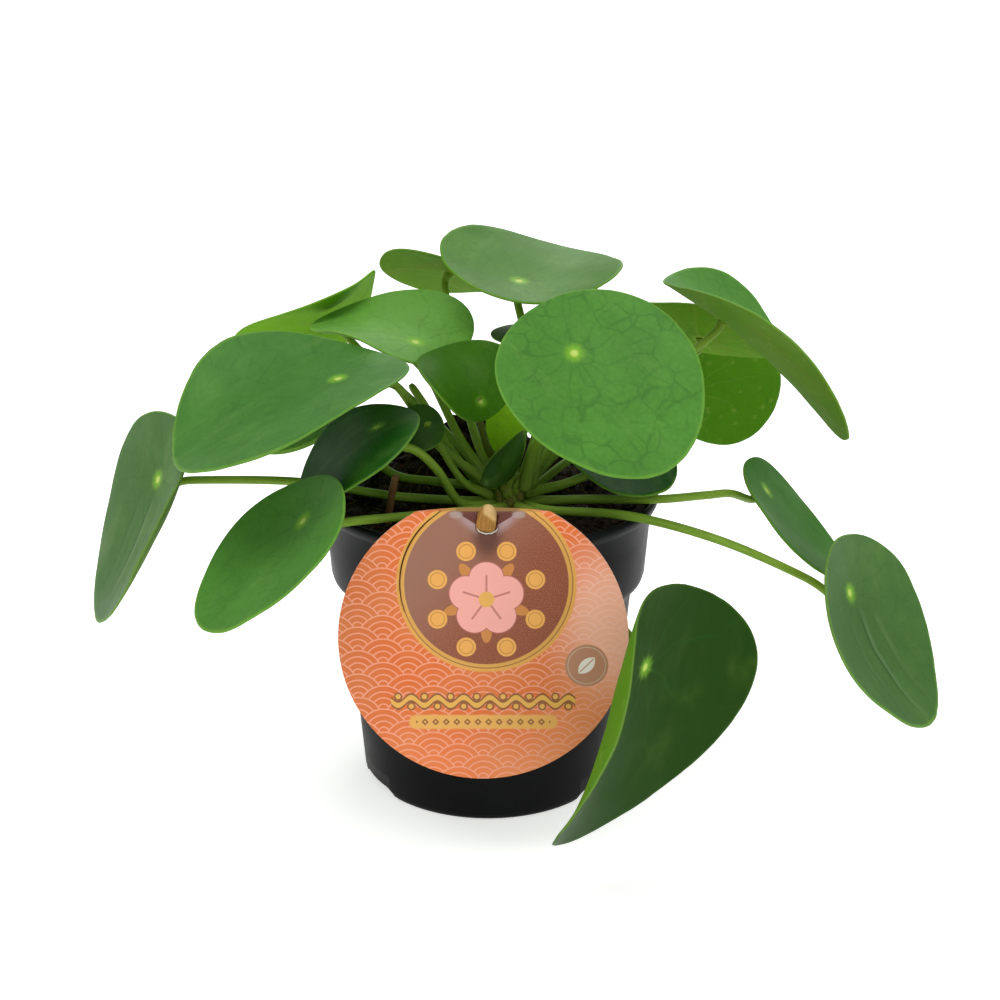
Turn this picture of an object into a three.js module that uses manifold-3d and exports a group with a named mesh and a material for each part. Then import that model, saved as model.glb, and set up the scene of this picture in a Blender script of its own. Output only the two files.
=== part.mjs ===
// A potted Chinese money plant (round peltate leaves on long stalks) in a plastic nursery pot, with potting
// soil and a round card label threaded on a wooden stake.
// Millimetres, +Z up. The origin is the centre of the pot's base, and the card label faces -Y.
import * as THREE from "three";
import { mergeVertices } from "three/addons/utils/BufferGeometryUtils.js";
import Module from "manifold-3d";

const wasm = await Module();
wasm.setup();

// ---------------------------------------------------------------- driving dimensions (mm, degrees)

const POT = {
  height: 107,
  lipRadius: 60,
  lipHeight: 2.2,
  lipTaper: 3.4,
  lipRound: 0.8,
  collarTopRadius: 57.6,
  collarBottomRadius: 56.1,
  collarBottom: 79,
  shoulderBottom: 72,
  shoulderRound: 2.5,
  bodyTopRadius: 51.5,
  baseRadius: 45.8,
  baseRound: 3,
  wall: 1.2,
  floor: 2,
  sides: 40,
};
const RECESS = {
  count: 3,
  firstAngle: 208.5,
  width: 26,
  height: 3.6,
  slope: 4,
  corner: 2.5,
  from: 37,
  depth: 14,
};
const DRAIN = { count: 6, ringRadius: 28, radius: 3.5 };
const SOIL = {
  gap: 0.4,
  edgeTop: -9,
  level: -6.8,
  mound: { x: -6, y: 36, height: 24, spread: 20 },
  lumps: { high: 0.7, low: 0.4, along: 0.3, aside: 0.27 },
  rings: [54, 46, 38, 30, 22, 13],
};
const STEM = { x: 7, y: -8, radius: 6.5, bottom: -24, shoulder: 4, top: 8.5, scars: 7, scarDepth: 0.4 };
const STALK_RADIUS = 1.7;
const STALK_SIDES = 6;
const BLADE_THICKNESS = 0.9;
const FIT_GAP = 0.35;
const LARGE_LEAF = 40;
const LARGE_BLADE = { spokes: 22, rings: [0.4, 0.75, 1] };
const SMALL_BLADE = { spokes: 16, rings: [0.5, 1] };
const CARD = {
  radius: 46.5,
  thickness: 0.6,
  leanBack: 9,
  foldHeight: 41,
  foldAngle: 86,
  centre: [-1.5, -65.4, -29.6],
};
const STAKE = { width: 6.2, thickness: 3.6, round: 0.7, tip: 6, length: 58, leanForward: 31, leanAside: 7 };
const STAKE_TIP = [0.2, -63.2, 13.8];

// Each leaf: where the stalk meets the blade, the direction in which the tip points (heading, droop), the
// blade's roll about that direction, its length and width, the share of the length behind the stalk, and the
// rise of the blade's surface: arch (along), fold (across), twist, lift (of the tip) and skew (of one side).
// root gives the stalk's start on the main stem as an angle and a height, and via the points on its way.
// All heights of the plant are measured from the plane of the pot's rim.
const LEAVES = {
  leaf_far_left: {
    spot: [-113, -15, 7.5], heading: 224, droop: 68, roll: 8, length: 75.5, width: 67, rear: 0.31,
    arch: -6.5, fold: -6, twist: 6, lift: -1.5, skew: 5,
    root: [187, -2.7], via: [[-32, -12, 0.6], [-65, -12, 5.8], [-100, -13, 6.8]],
  },
  leaf_left_large: {
    spot: [-49, -28.5, 46.2], heading: 203, droop: 14, roll: -2.5,
    length: 83, width: 75, rear: 0.29, egg: 0.33,
    arch: 8, fold: -8.5, twist: 3.5, lift: 2, skew: -7.5,
    root: [195, 5.2], via: [[-17, -9, 18], [-26, -7, 31.5], [-33.5, -12.5, 41]],
  },
  leaf_lower_left: {
    spot: [-58.5, -57, 7], heading: 222, droop: 45, roll: 12.5, length: 63, width: 58, rear: 0.27,
    arch: -5, fold: -3.5, twist: -0.5, lift: -1, skew: -2,
    root: [250, -2.7], via: [[-26, -40, 3], [-46, -52, 5]],
  },
  leaf_left_inner: {
    spot: [-36.5, -31, 30.5], heading: 203, droop: 24, roll: 1, length: 50, width: 45, rear: 0.28,
    arch: 5.5, fold: 0.5, twist: 1, lift: -1, skew: -3,
    shade: "dark",
    root: [220, -2.7], via: [[-9.5, -20, 1], [-17, -26, 14.5], [-24.5, -29, 22.5]],
  },
  leaf_left_small: {
    spot: [-20, -16, 27], heading: 190, droop: 16, roll: -50, length: 20, width: 18, rear: 0.26,
    arch: 0.5, fold: -1, twist: 2,
    shade: "dark",
    root: [206, 1.2], via: [[-9, -15, 7.5]],
  },
  leaf_upper_left: {
    spot: [-25.5, 12, 49.5], heading: 135, droop: -18, roll: -2.5,
    length: 62.5, width: 55, rear: 0.22, egg: -0.32,
    arch: 7, fold: -6, twist: -5.5, lift: 1, skew: 1,
    shade: "bright",
    root: [168, 5.6], via: [[-10, 1, 18], [-20, 9.5, 36.5]],
  },
  leaf_back_left: {
    spot: [-59, 61, 48], heading: 206, droop: 22, roll: 40, length: 61, width: 55, rear: 0.38,
    arch: -10.5, fold: 2.5, lift: -3, skew: -0.5,
    root: [124, 1.2], via: [[-16, 14, 17], [-38, 35, 32]],
  },
  leaf_back_small: {
    spot: [-15, 70, 64], heading: 131, droop: 10, roll: 29, length: 50, width: 45, rear: 0.33,
    arch: 1, fold: -1, skew: -0.5,
    root: [140, 5.2], via: [[-6, 8, 22], [-13, 50, 46]],
  },
  leaf_top: {
    spot: [11, 24, 69], heading: 67, droop: -8, roll: 12, length: 71, width: 65.5, rear: 0.32,
    arch: -2.5, fold: -8, twist: -0.5, lift: -2.5, skew: -1,
    root: [45, 5.2], via: [[17.5, 2, 24], [15, 12, 44]],
  },
  leaf_front_large: {
    spot: [28, -29, 55], heading: 319, droop: 34, roll: 32, length: 72, width: 65, rear: 0.3,
    arch: -1.5, fold: -4.5, twist: 2, lift: -2.5, skew: -2,
    shade: "bright",
    root: [315, 5.2], via: [[15.5, -16, 20], [26, -21, 39]],
  },
  leaf_front_hidden: {
    spot: [30.5, -3.5, 50], heading: 42, droop: -10, roll: 42, length: 44, width: 43, rear: 0.34, egg: -0.15,
    arch: -4, fold: -1, twist: 2.5, lift: 0.5, skew: -2,
    shade: "bright",
    root: [347, 5.2], via: [[19, -8, 20], [29, -3, 36]],
  },
  leaf_centre_upright: {
    spot: [-2.5, -18.5, 36], heading: 147, droop: -51, roll: -31, length: 33, width: 32.5, rear: 0.19,
    arch: 3, fold: -10, lift: -2, skew: 2,
    root: [190, 9.5], via: [[0, -9.5, 17]],
  },
  leaf_back_right_low: {
    spot: [87.5, 118, 7], heading: 29, droop: 37, roll: -45, length: 63.5, width: 62, rear: 0.33, egg: 0.05,
    arch: -1, fold: -11, twist: -5, lift: -1.5, skew: 4,
    root: [45, -2.7], via: [[35, 21, 7], [74, 66, 12]],
  },
  leaf_back_right_high: {
    spot: [83.5, 74, 37.5], heading: 63, droop: 35, roll: -1, length: 56, width: 55, rear: 0.43, egg: -0.14,
    arch: -5, fold: -4, skew: 6,
    root: [42, 1.2], via: [[34, 17, 16], [66, 44, 29]],
  },
  leaf_right_cupped: {
    spot: [82.5, 13.5, 57], heading: 3, droop: 36, roll: -7, length: 88, width: 76, rear: 0.28, egg: -0.33,
    arch: 5, fold: -11, lift: 0.5, skew: 6,
    root: [17, 5.2], via: [[30, 2, 24], [50, 8, 38], [68, 12, 44]],
  },
  leaf_right_narrow: {
    spot: [99.5, 5, -3], heading: 344, droop: 51, roll: 1, length: 58, width: 53.5, rear: 0.22,
    arch: -1.5, fold: -1.5, twist: -1.5, lift: 1,
    root: [2, -2.7], via: [[34, -16, 0.8], [57, -21.5, 2.6], [75, -14, 1.6], [85, -6, -0.4]],
  },
  leaf_far_right: {
    spot: [121, -38, -25], heading: 311, droop: 68, roll: -12.5,
    length: 67, width: 61, rear: 0.29, egg: -0.19,
    arch: -8.5, fold: -7.5, twist: 1, skew: 1,
    root: [331, -2.7], via: [[21, -24, -0.5], [47, -39, 2.6], [77, -40.5, -5.5], [106, -36, -20]],
  },
  leaf_front_hanging: {
    spot: [47.5, -89, -28.5], heading: 212, droop: 76, roll: -110,
    length: 93, width: 84, rear: 0.29, egg: -0.49,
    arch: -1, fold: -16, twist: 1.5, lift: -6, skew: -2.5,
    shade: "dark",
    root: [300, -2.7],
    via: [
      [18, -34, 1],
      [22, -55.5, 3.4],
      [30, -60, -9],
      [38, -61.5, -20],
      [45.5, -62.8, -30],
      [49.5, -68, -32],
      [48.5, -79, -30.5],
    ],
  },
  leaf_soil_right: {
    spot: [43.5, -8, 17], heading: 283, droop: 12, roll: 0, length: 47, width: 40, rear: 0.33,
    arch: 3, fold: -1, twist: -1.5, lift: 1.5, skew: -1.5,
    shade: "dark",
    root: [350, 1.2], via: [[28, -13, 6]],
  },
  leaf_top_small: {
    spot: [13, 30, 49], heading: 160, droop: -5, roll: -15, length: 18, width: 15, rear: 0.3,
    arch: 1, fold: 1,
    root: [109, 5.2], via: [[3, 8, 12], [6, 14, 24], [11, 24, 38]],
  },
  leaf_left_under: {
    spot: [-62, 10, 22], heading: 192, droop: 24, roll: 20, length: 48, width: 43, rear: 0.33,
    arch: -1, fold: 7.5, lift: 1.5, skew: -0.5,
    root: [146, 1.2], via: [[-19, -1, 2.5], [-33, 2, 4], [-46, 6, 13]],
  },
  leaf_young_dark: {
    spot: [-0.5, -19, 8], heading: 12, droop: -42, roll: 50, length: 23.5, width: 9.5, rear: 0.07,
    arch: -1.5, fold: 0.5, twist: -2.5, lift: 1, skew: 3,
    root: [225, 5.3], via: [],
  },
  leaf_young_bright: {
    spot: [6.5, 3, 13], heading: 80, droop: -62, roll: 0, length: 26, width: 15, rear: 0.12,
    fold: -3,
    shade: "bright",
    root: [77, 5.2], via: [],
  },
};
const LEAFLESS_STALK = { root: [176, 0.8], via: [[-15.5, -4, 18.5], [-21, -1, 28.5], [-27, 2, 37]] };
const DRY_STALK = [[-34, -19, -14], [-34, -19, -4], [-32.5, -19, 5], [-31, -18.5, 10.5]];

const COLOURS = {
  leaf: 0x46752e,
  bright: 0x558338,
  dark: 0x2a4d1c,
  stalk: 0x6f9a2c,
  dry: 0x6b4a2a,
  pot: 0x33373a,
  soil: 0x1b1512,
  stem: 0x4a5a26,
  card: 0xc46c38,
  wood: 0xc39a55,
};

// ---------------------------------------------------------------- solids

const radians = THREE.MathUtils.degToRad;
const pottedPlant = new THREE.Group();
const planting = new THREE.Group();
planting.position.z = POT.height;
pottedPlant.add(planting);

// A closed geometry as a solid for joining and cutting.
function solidOf(geometry) {
  const bare = geometry.clone();
  bare.deleteAttribute("normal");
  bare.deleteAttribute("uv");
  const merged = mergeVertices(bare, 1e-4);
  const corners = merged.index.array;
  const kept = [];
  for (let i = 0; i < corners.length; i += 3) {
    const [a, b, c] = [corners[i], corners[i + 1], corners[i + 2]];
    if (a !== b && b !== c && c !== a) kept.push(a, b, c);
  }
  const vertProperties = new Float32Array(merged.attributes.position.array);
  const triVerts = new Uint32Array(kept);
  return new wasm.Manifold(new wasm.Mesh({ numProp: 3, vertProperties, triVerts }));
}

function geometryOf(solid) {
  const mesh = solid.getMesh();
  const geometry = new THREE.BufferGeometry();
  geometry.setAttribute("position", new THREE.BufferAttribute(new Float32Array(mesh.vertProperties), 3));
  geometry.setIndex(new THREE.BufferAttribute(new Uint32Array(mesh.triVerts), 1));
  geometry.computeVertexNormals();
  return geometry;
}

function addMesh(group, name, geometry, color, roughness) {
  const mesh = new THREE.Mesh(geometry, new THREE.MeshStandardMaterial({ color, roughness, metalness: 0 }));
  mesh.name = name;
  group.add(mesh);
  return mesh;
}

function vectors(points) {
  return points.map((point) => new THREE.Vector3(...point));
}

// A body of revolution about the Z axis. The profile of [radius, height] pairs runs up the outside.
function turned(profile, sides) {
  const points = profile.map(([radius, height]) => new THREE.Vector2(radius, height));
  return new THREE.LatheGeometry(points, sides).rotateX(Math.PI / 2);
}

// A round rod along a smooth curve through the points.
function rod(points, radius, sides, steps) {
  const curve = new THREE.CatmullRomCurve3(points, false, "catmullrom", 0.5);
  const section = new THREE.Shape();
  for (let i = 0; i < sides; i += 1) {
    const angle = (2 * Math.PI * i) / sides;
    section[i ? "lineTo" : "moveTo"](radius * Math.cos(angle), radius * Math.sin(angle));
  }
  section.closePath();
  return new THREE.ExtrudeGeometry(section, { steps, extrudePath: curve, bevelEnabled: false });
}

// ---------------------------------------------------------------- pot

// The pot's section from the middle of its underside, up the outside and down the inside.
function potProfile() {
  const { height, lipRadius, lipHeight, lipTaper, lipRound, wall, floor, baseRadius, baseRound } = POT;
  const { collarTopRadius, collarBottomRadius, collarBottom, shoulderBottom, bodyTopRadius } = POT;
  const round = POT.shoulderRound;
  const shoulderMiddle = (collarBottom + shoulderBottom + round / 4) / 2;
  const bodyEnd = bodyTopRadius - (round * (bodyTopRadius - baseRadius)) / shoulderBottom;
  const lipBottom = height - lipHeight - lipTaper;
  return [
    [0, 0],
    [baseRadius - baseRound, 0],
    [baseRadius - baseRound / 4, baseRound / 4],
    [baseRadius, baseRound],
    [bodyEnd, shoulderBottom - round],
    [bodyTopRadius + round / 4, shoulderBottom + round / 4],
    [collarBottomRadius - round / 2, shoulderMiddle],
    [collarBottomRadius, collarBottom],
    [collarTopRadius, lipBottom],
    [lipRadius - lipRound / 2, height - lipHeight],
    [lipRadius, height - lipRound],
    [lipRadius - lipRound / 2, height],
    [lipRadius - 2 * lipRound, height],
    [lipRadius - 2 * lipRound - lipRound / 4, height - lipRound],
    [collarTopRadius - wall, lipBottom],
    [collarBottomRadius - wall, collarBottom + wall / 4],
    [collarBottomRadius - wall - round / 2, shoulderMiddle + wall / 2],
    [bodyTopRadius - wall + round / 4, shoulderBottom + wall],
    [bodyEnd - wall, shoulderBottom - round],
    [baseRadius - wall, baseRound + wall],
    [baseRadius - 2 * wall, floor],
    [0, floor],
  ];
}

// The flat-topped recesses with sloping ends in the base edge, one prism each, pointing outwards.
function recessPrism(angle) {
  const { width, height, slope, corner } = RECESS;
  const low = width / 2;
  const high = low - slope;
  const arch = new THREE.Shape();
  arch.moveTo(-low, -1);
  arch.lineTo(low, -1);
  arch.lineTo(low, 0);
  arch.lineTo((low + high) / 2, height / 2);
  arch.quadraticCurveTo(high, height, high - corner, height);
  arch.lineTo(corner - high, height);
  arch.quadraticCurveTo(-high, height, -(low + high) / 2, height / 2);
  arch.lineTo(-low, 0);
  const options = { depth: RECESS.depth, curveSegments: 4, bevelEnabled: false };
  const prism = new THREE.ExtrudeGeometry(arch, options);
  const radial = new THREE.Vector3(Math.cos(angle), Math.sin(angle), 0);
  const along = new THREE.Vector3(-Math.sin(angle), Math.cos(angle), 0);
  const matrix = new THREE.Matrix4().makeBasis(along, new THREE.Vector3(0, 0, 1), radial);
  matrix.setPosition(radial.clone().multiplyScalar(RECESS.from));
  return prism.applyMatrix4(matrix);
}

function addPot() {
  let pot = solidOf(turned(potProfile(), POT.sides));
  for (let i = 0; i < RECESS.count; i += 1) {
    pot = pot.subtract(solidOf(recessPrism(radians(RECESS.firstAngle + (360 * i) / RECESS.count))));
  }
  for (let i = 0; i < DRAIN.count; i += 1) {
    const angle = (2 * Math.PI * i) / DRAIN.count;
    const hole = new THREE.CylinderGeometry(DRAIN.radius, DRAIN.radius, 4 * POT.floor, 12);
    hole.rotateX(Math.PI / 2);
    hole.translate(DRAIN.ringRadius * Math.cos(angle), DRAIN.ringRadius * Math.sin(angle), 0);
    pot = pot.subtract(solidOf(hole));
  }
  addMesh(pottedPlant, "pot", geometryOf(pot), COLOURS.pot, 0.45);
}

// ---------------------------------------------------------------- label stake and card

// A flat stake with a rounded tip, from its tip down. clearance makes the slot that it stands in.
function stakeGeometry(clearance) {
  const { width, thickness, round, tip, length, leanForward, leanAside } = STAKE;
  const half = width / 2 - round + clearance;
  const outline = new THREE.Shape();
  outline.moveTo(-half, -length - clearance);
  outline.lineTo(half, -length - clearance);
  outline.lineTo(half, -tip);
  outline.absellipse(0, -tip, half, tip - round + clearance, 0, Math.PI, false);
  const depth = thickness - 2 * round + 2 * clearance;
  const options = { depth, curveSegments: 8, bevelThickness: round, bevelSize: round, bevelSegments: 2 };
  const stake = new THREE.ExtrudeGeometry(outline, options).translate(0, 0, -depth / 2);
  stake.rotateX(Math.PI / 2 + radians(leanForward)).rotateY(radians(leanAside));
  return stake.translate(...STAKE_TIP);
}

// The part of the card between two angles of its circle, as a flat plate.
function cardPlate(from, to, curveSegments) {
  const shape = new THREE.Shape();
  shape.absarc(0, 0, CARD.radius, from, to, false);
  shape.closePath();
  return new THREE.ExtrudeGeometry(shape, { depth: CARD.thickness, curveSegments, bevelEnabled: false });
}

// The card's disc ends at the fold, and the rest of it is folded back over the pot's rim.
function addCard() {
  const { radius, thickness, leanBack, centre, foldHeight, foldAngle } = CARD;
  const foldEnd = Math.asin(foldHeight / radius);
  const disc = cardPlate(Math.PI - foldEnd, 2 * Math.PI + foldEnd, 48);
  const flap = cardPlate(foldEnd, Math.PI - foldEnd, 10);
  flap.translate(0, -foldHeight - thickness / 2, -thickness).rotateX(-radians(foldAngle));
  flap.translate(0, foldHeight, thickness);
  const matrix = new THREE.Matrix4().makeRotationX(Math.PI / 2 - radians(leanBack)).setPosition(...centre);
  const card = solidOf(disc.applyMatrix4(matrix)).add(solidOf(flap.applyMatrix4(matrix)));
  const slotted = card.subtract(solidOf(stakeGeometry(FIT_GAP)));
  addMesh(planting, "label_card", geometryOf(slotted), COLOURS.card, 0.35);
}

// ---------------------------------------------------------------- soil and main stem

// The soil's top: level, with a mound of root ball towards the back and small lumps.
function soilTop(x, y) {
  const { level, mound } = SOIL;
  const distance = (x - mound.x) ** 2 + (y - mound.y) ** 2;
  const hill = mound.height * Math.exp(-distance / (2 * mound.spread ** 2));
  const fall = 1 - Math.min(1, Math.hypot(x, y) / POT.collarTopRadius) ** 6;
  const { high, low, along, aside } = SOIL.lumps;
  const large = high * Math.sin(along * x + 1.3) * Math.cos(aside * y - 0.6);
  const lumps = large + low * Math.sin(2 * along * x + aside * y);
  return level + hill * fall + lumps;
}

// The soil fills the pot: the section follows the pot's inside to the collar, then steps in over the top.
function soilProfile() {
  const { gap, edgeTop, level, rings } = SOIL;
  const inside = potProfile().slice(-7).reverse();
  const profile = inside.map(([radius, height], i) => {
    const lift = i < 2 ? gap : 0;
    return [Math.max(0, radius - gap), height + lift - POT.height];
  });
  profile.push([POT.collarTopRadius - POT.wall - gap, edgeTop]);
  for (const radius of rings) profile.push([radius, level]);
  profile.push([0, level]);
  return profile;
}

function addSoil() {
  const geometry = turned(soilProfile(), POT.sides);
  const position = geometry.attributes.position;
  for (let i = 0; i < position.count; i += 1) {
    if (position.getZ(i) > SOIL.edgeTop) position.setZ(i, soilTop(position.getX(i), position.getY(i)));
  }
  const holeRadius = STEM.radius + FIT_GAP;
  const holeDepth = 2 * (STEM.top - STEM.bottom);
  const stemHole = new THREE.CylinderGeometry(holeRadius, holeRadius, holeDepth, 20).rotateX(Math.PI / 2);
  stemHole.translate(STEM.x, STEM.y, STEM.bottom - FIT_GAP + holeDepth / 2);
  const dryHole = rod(vectors(DRY_STALK), STALK_RADIUS + FIT_GAP, 8, 6).translate(0, 0, -FIT_GAP);
  let soil = solidOf(geometry);
  for (const hole of [stemHole, dryHole, stakeGeometry(FIT_GAP)]) soil = soil.subtract(solidOf(hole));
  addMesh(planting, "soil", geometryOf(soil), COLOURS.soil, 0.95);
}

// The main stem's radius above its shoulder, where it rounds over.
function stemRadius(height) {
  const { radius, shoulder, top } = STEM;
  const share = THREE.MathUtils.clamp((height - shoulder) / (top - shoulder), 0, 1);
  return radius * Math.sqrt(1 - share ** 2);
}

// The stem is ringed by the scars of old leaves and ends in a rounded top.
function addStem() {
  const { radius, bottom, shoulder, top, scars, scarDepth } = STEM;
  const profile = [[0, bottom], [radius - 1, bottom]];
  for (let i = 0; i < scars; i += 1) {
    const height = THREE.MathUtils.lerp(bottom + 1, shoulder, i / (scars - 1));
    profile.push([radius - scarDepth * (i % 2), height]);
  }
  for (const share of [0.5, 0.8]) {
    const height = THREE.MathUtils.lerp(shoulder, top, share);
    profile.push([stemRadius(height), height]);
  }
  profile.push([0, top]);
  const stem = turned(profile, 14).translate(STEM.x, STEM.y, 0);
  addMesh(planting, "main_stem", geometryOf(solidOf(stem)), COLOURS.stem, 0.7);
}

// ---------------------------------------------------------------- leaves

// Where a stalk starts: on the main stem, clear of it by the fit gap.
function stalkStart([angle, height], next) {
  const outward = new THREE.Vector3(Math.cos(radians(angle)), Math.sin(radians(angle)), 0);
  const start = new THREE.Vector3(STEM.x, STEM.y, height);
  start.addScaledVector(outward, stemRadius(height) + FIT_GAP);
  const climb = next.clone().sub(start).normalize().z;
  return start.addScaledVector(outward, STALK_RADIUS * climb);
}

// The blade's surface above its flat plane, at a point given as shares of half the length and width.
function bladeRise({ arch = 0, fold = 0, twist = 0, lift = 0, skew = 0 }, along, across) {
  const bend = -arch * along ** 2 - fold * across ** 2 + twist * along * across;
  return bend + lift * along ** 3 + skew * across ** 3;
}

// A point of the blade's upper (side 1) or lower (side -1) face, half the thickness off its middle surface.
function bladePoint(leaf, u, v, side) {
  const step = 0.01;
  const rise = (a, b) => bladeRise(leaf, a / (leaf.length / 2), b / (leaf.width / 2));
  const slopeU = (rise(u + step, v) - rise(u - step, v)) / (2 * step);
  const slopeV = (rise(u, v + step) - rise(u, v - step)) / (2 * step);
  const normal = new THREE.Vector3(-slopeU, -slopeV, 1).normalize();
  return new THREE.Vector3(u, v, rise(u, v)).addScaledVector(normal, (side * BLADE_THICKNESS) / 2);
}

// A thin curved blade of rings about the stalk's spot, split into triangles alike on both faces.
function bladeGeometry(leaf) {
  const { length, width, rear, egg = -0.1 } = leaf;
  const { spokes, rings } = length > LARGE_LEAF ? LARGE_BLADE : SMALL_BLADE;
  const positions = [];
  for (const side of [1, -1]) {
    positions.push(...bladePoint(leaf, 0, 0, side));
    for (const ring of rings) {
      for (let i = 0; i < spokes; i += 1) {
        const angle = (2 * Math.PI * i) / spokes;
        const u = length * (0.5 - rear) + (length / 2) * Math.cos(angle);
        const v = (width / 2) * Math.sin(angle) * (1 + egg * Math.cos(angle));
        positions.push(...bladePoint(leaf, ring * u, ring * v, side));
      }
    }
  }
  const lower = 1 + rings.length * spokes;
  const vertex = (ring, i) => 1 + ring * spokes + (i % spokes);
  const index = [];
  const addBoth = (a, b, c) => index.push(a, b, c, lower + a, lower + c, lower + b);
  for (let i = 0; i < spokes; i += 1) {
    addBoth(0, vertex(0, i), vertex(0, i + 1));
    for (let ring = 1; ring < rings.length; ring += 1) {
      addBoth(vertex(ring - 1, i), vertex(ring, i), vertex(ring, i + 1));
      addBoth(vertex(ring - 1, i), vertex(ring, i + 1), vertex(ring - 1, i + 1));
    }
    const [a, b] = [vertex(rings.length - 1, i), vertex(rings.length - 1, i + 1)];
    index.push(a, lower + a, lower + b, a, lower + b, b);
  }
  const geometry = new THREE.BufferGeometry();
  geometry.setAttribute("position", new THREE.Float32BufferAttribute(positions, 3));
  geometry.setIndex(index);
  return geometry;
}

// A leaf is its blade with the stalk joined to its underside, in the frame of its spot.
function addLeaf(name, leaf) {
  const { heading, droop, roll, spot, root, via, length } = leaf;
  const turn = new THREE.Euler(radians(roll), radians(droop), radians(heading), "ZYX");
  const place = new THREE.Matrix4().makeRotationFromEuler(turn).setPosition(...spot);
  const intoLeaf = place.clone().invert();
  const under = new THREE.Vector3(0, 0, -Math.min(6, length / 8));
  const points = vectors(via);
  points.unshift(stalkStart(root, points[0] ?? under.clone().applyMatrix4(place)));
  for (const point of points) point.applyMatrix4(intoLeaf);
  points.push(under, new THREE.Vector3(0, 0, -0.05));
  const steps = length > LARGE_LEAF ? 11 : 6;
  const solid = solidOf(bladeGeometry(leaf)).add(solidOf(rod(points, STALK_RADIUS, STALK_SIDES, steps)));
  const mesh = addMesh(planting, name, geometryOf(solid), COLOURS[leaf.shade ?? "leaf"], 0.4);
  mesh.rotation.copy(turn);
  mesh.position.set(...spot);
}

function addBareStalks() {
  const points = vectors(LEAFLESS_STALK.via);
  points.unshift(stalkStart(LEAFLESS_STALK.root, points[0]));
  const leafless = solidOf(rod(points, STALK_RADIUS, STALK_SIDES, 8));
  addMesh(planting, "stalk_leafless", geometryOf(leafless), COLOURS.stalk, 0.5);
  const dry = solidOf(rod(vectors(DRY_STALK), STALK_RADIUS, STALK_SIDES, 6));
  addMesh(planting, "stalk_dry", geometryOf(dry), COLOURS.dry, 0.9);
}

addPot();
addSoil();
addStem();
for (const [name, leaf] of Object.entries(LEAVES)) addLeaf(name, leaf);
addBareStalks();
addMesh(planting, "label_stake", geometryOf(solidOf(stakeGeometry(0))), COLOURS.wood, 0.6);
addCard();

export default pottedPlant;
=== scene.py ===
import math
import random

import bmesh
import bpy
from mathutils import Matrix, Vector, noise


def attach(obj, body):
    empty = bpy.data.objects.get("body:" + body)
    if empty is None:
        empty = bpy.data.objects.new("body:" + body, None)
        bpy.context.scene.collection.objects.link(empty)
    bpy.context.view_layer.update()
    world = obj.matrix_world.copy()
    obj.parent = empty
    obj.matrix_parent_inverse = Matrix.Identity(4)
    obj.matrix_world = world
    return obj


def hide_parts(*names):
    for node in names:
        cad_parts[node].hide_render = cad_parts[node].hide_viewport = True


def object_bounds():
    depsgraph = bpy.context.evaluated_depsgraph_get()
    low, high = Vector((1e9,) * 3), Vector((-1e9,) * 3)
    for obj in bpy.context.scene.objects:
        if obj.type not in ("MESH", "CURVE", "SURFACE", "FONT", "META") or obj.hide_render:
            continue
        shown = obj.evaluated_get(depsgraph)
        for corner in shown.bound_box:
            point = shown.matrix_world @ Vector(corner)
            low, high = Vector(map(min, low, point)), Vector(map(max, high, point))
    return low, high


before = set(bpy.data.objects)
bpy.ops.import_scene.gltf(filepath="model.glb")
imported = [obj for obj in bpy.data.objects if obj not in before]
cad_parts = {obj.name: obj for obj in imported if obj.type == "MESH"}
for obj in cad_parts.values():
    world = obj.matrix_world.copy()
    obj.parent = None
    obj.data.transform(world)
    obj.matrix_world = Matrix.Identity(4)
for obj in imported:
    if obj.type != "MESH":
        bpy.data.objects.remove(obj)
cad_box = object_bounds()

# A potted Chinese money plant: round peltate leaves on long stalks, in a satin black nursery pot with a card
# label threaded on a wooden stake. Lengths are in millimetres, and make_piece() and cut() turn them into
# metres. Heights of the plant, the stake and the card are measured from the plane of the pot's rim.

MM = 0.001  # in metres
MERGE = 1e-6  # corners nearer than this, in metres, become one after a cut
RIM = 107.0
UP = Vector((0, 0, RIM))
random.seed(20)
draw = random.uniform

# ---------------------------------------------------------------- the plant's driving values

BLADE_THICKNESS = 0.9
STALK_RADIUS = 1.6
FIT_GAP = 0.35
FOOT_SUNK = 1.6
STEM = dict(x=7, y=-8, radius=6.5, bottom=-24, shoulder=4, top=8.5)

# young is far paler than a young leaf's own green: painted light for leaf_young_bright, which lies in shade.
GREENS = dict(deep="#125408", dark="#224208", olive="#345a18", forest="#3c7e14", dull="#50783c",
              leaf="#4d8636", fresh="#58943a", moss="#4a8412", rosy="#4e880a", bright="#6fac43",
              lime="#7ac01c", young="#b8ee30")

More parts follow.
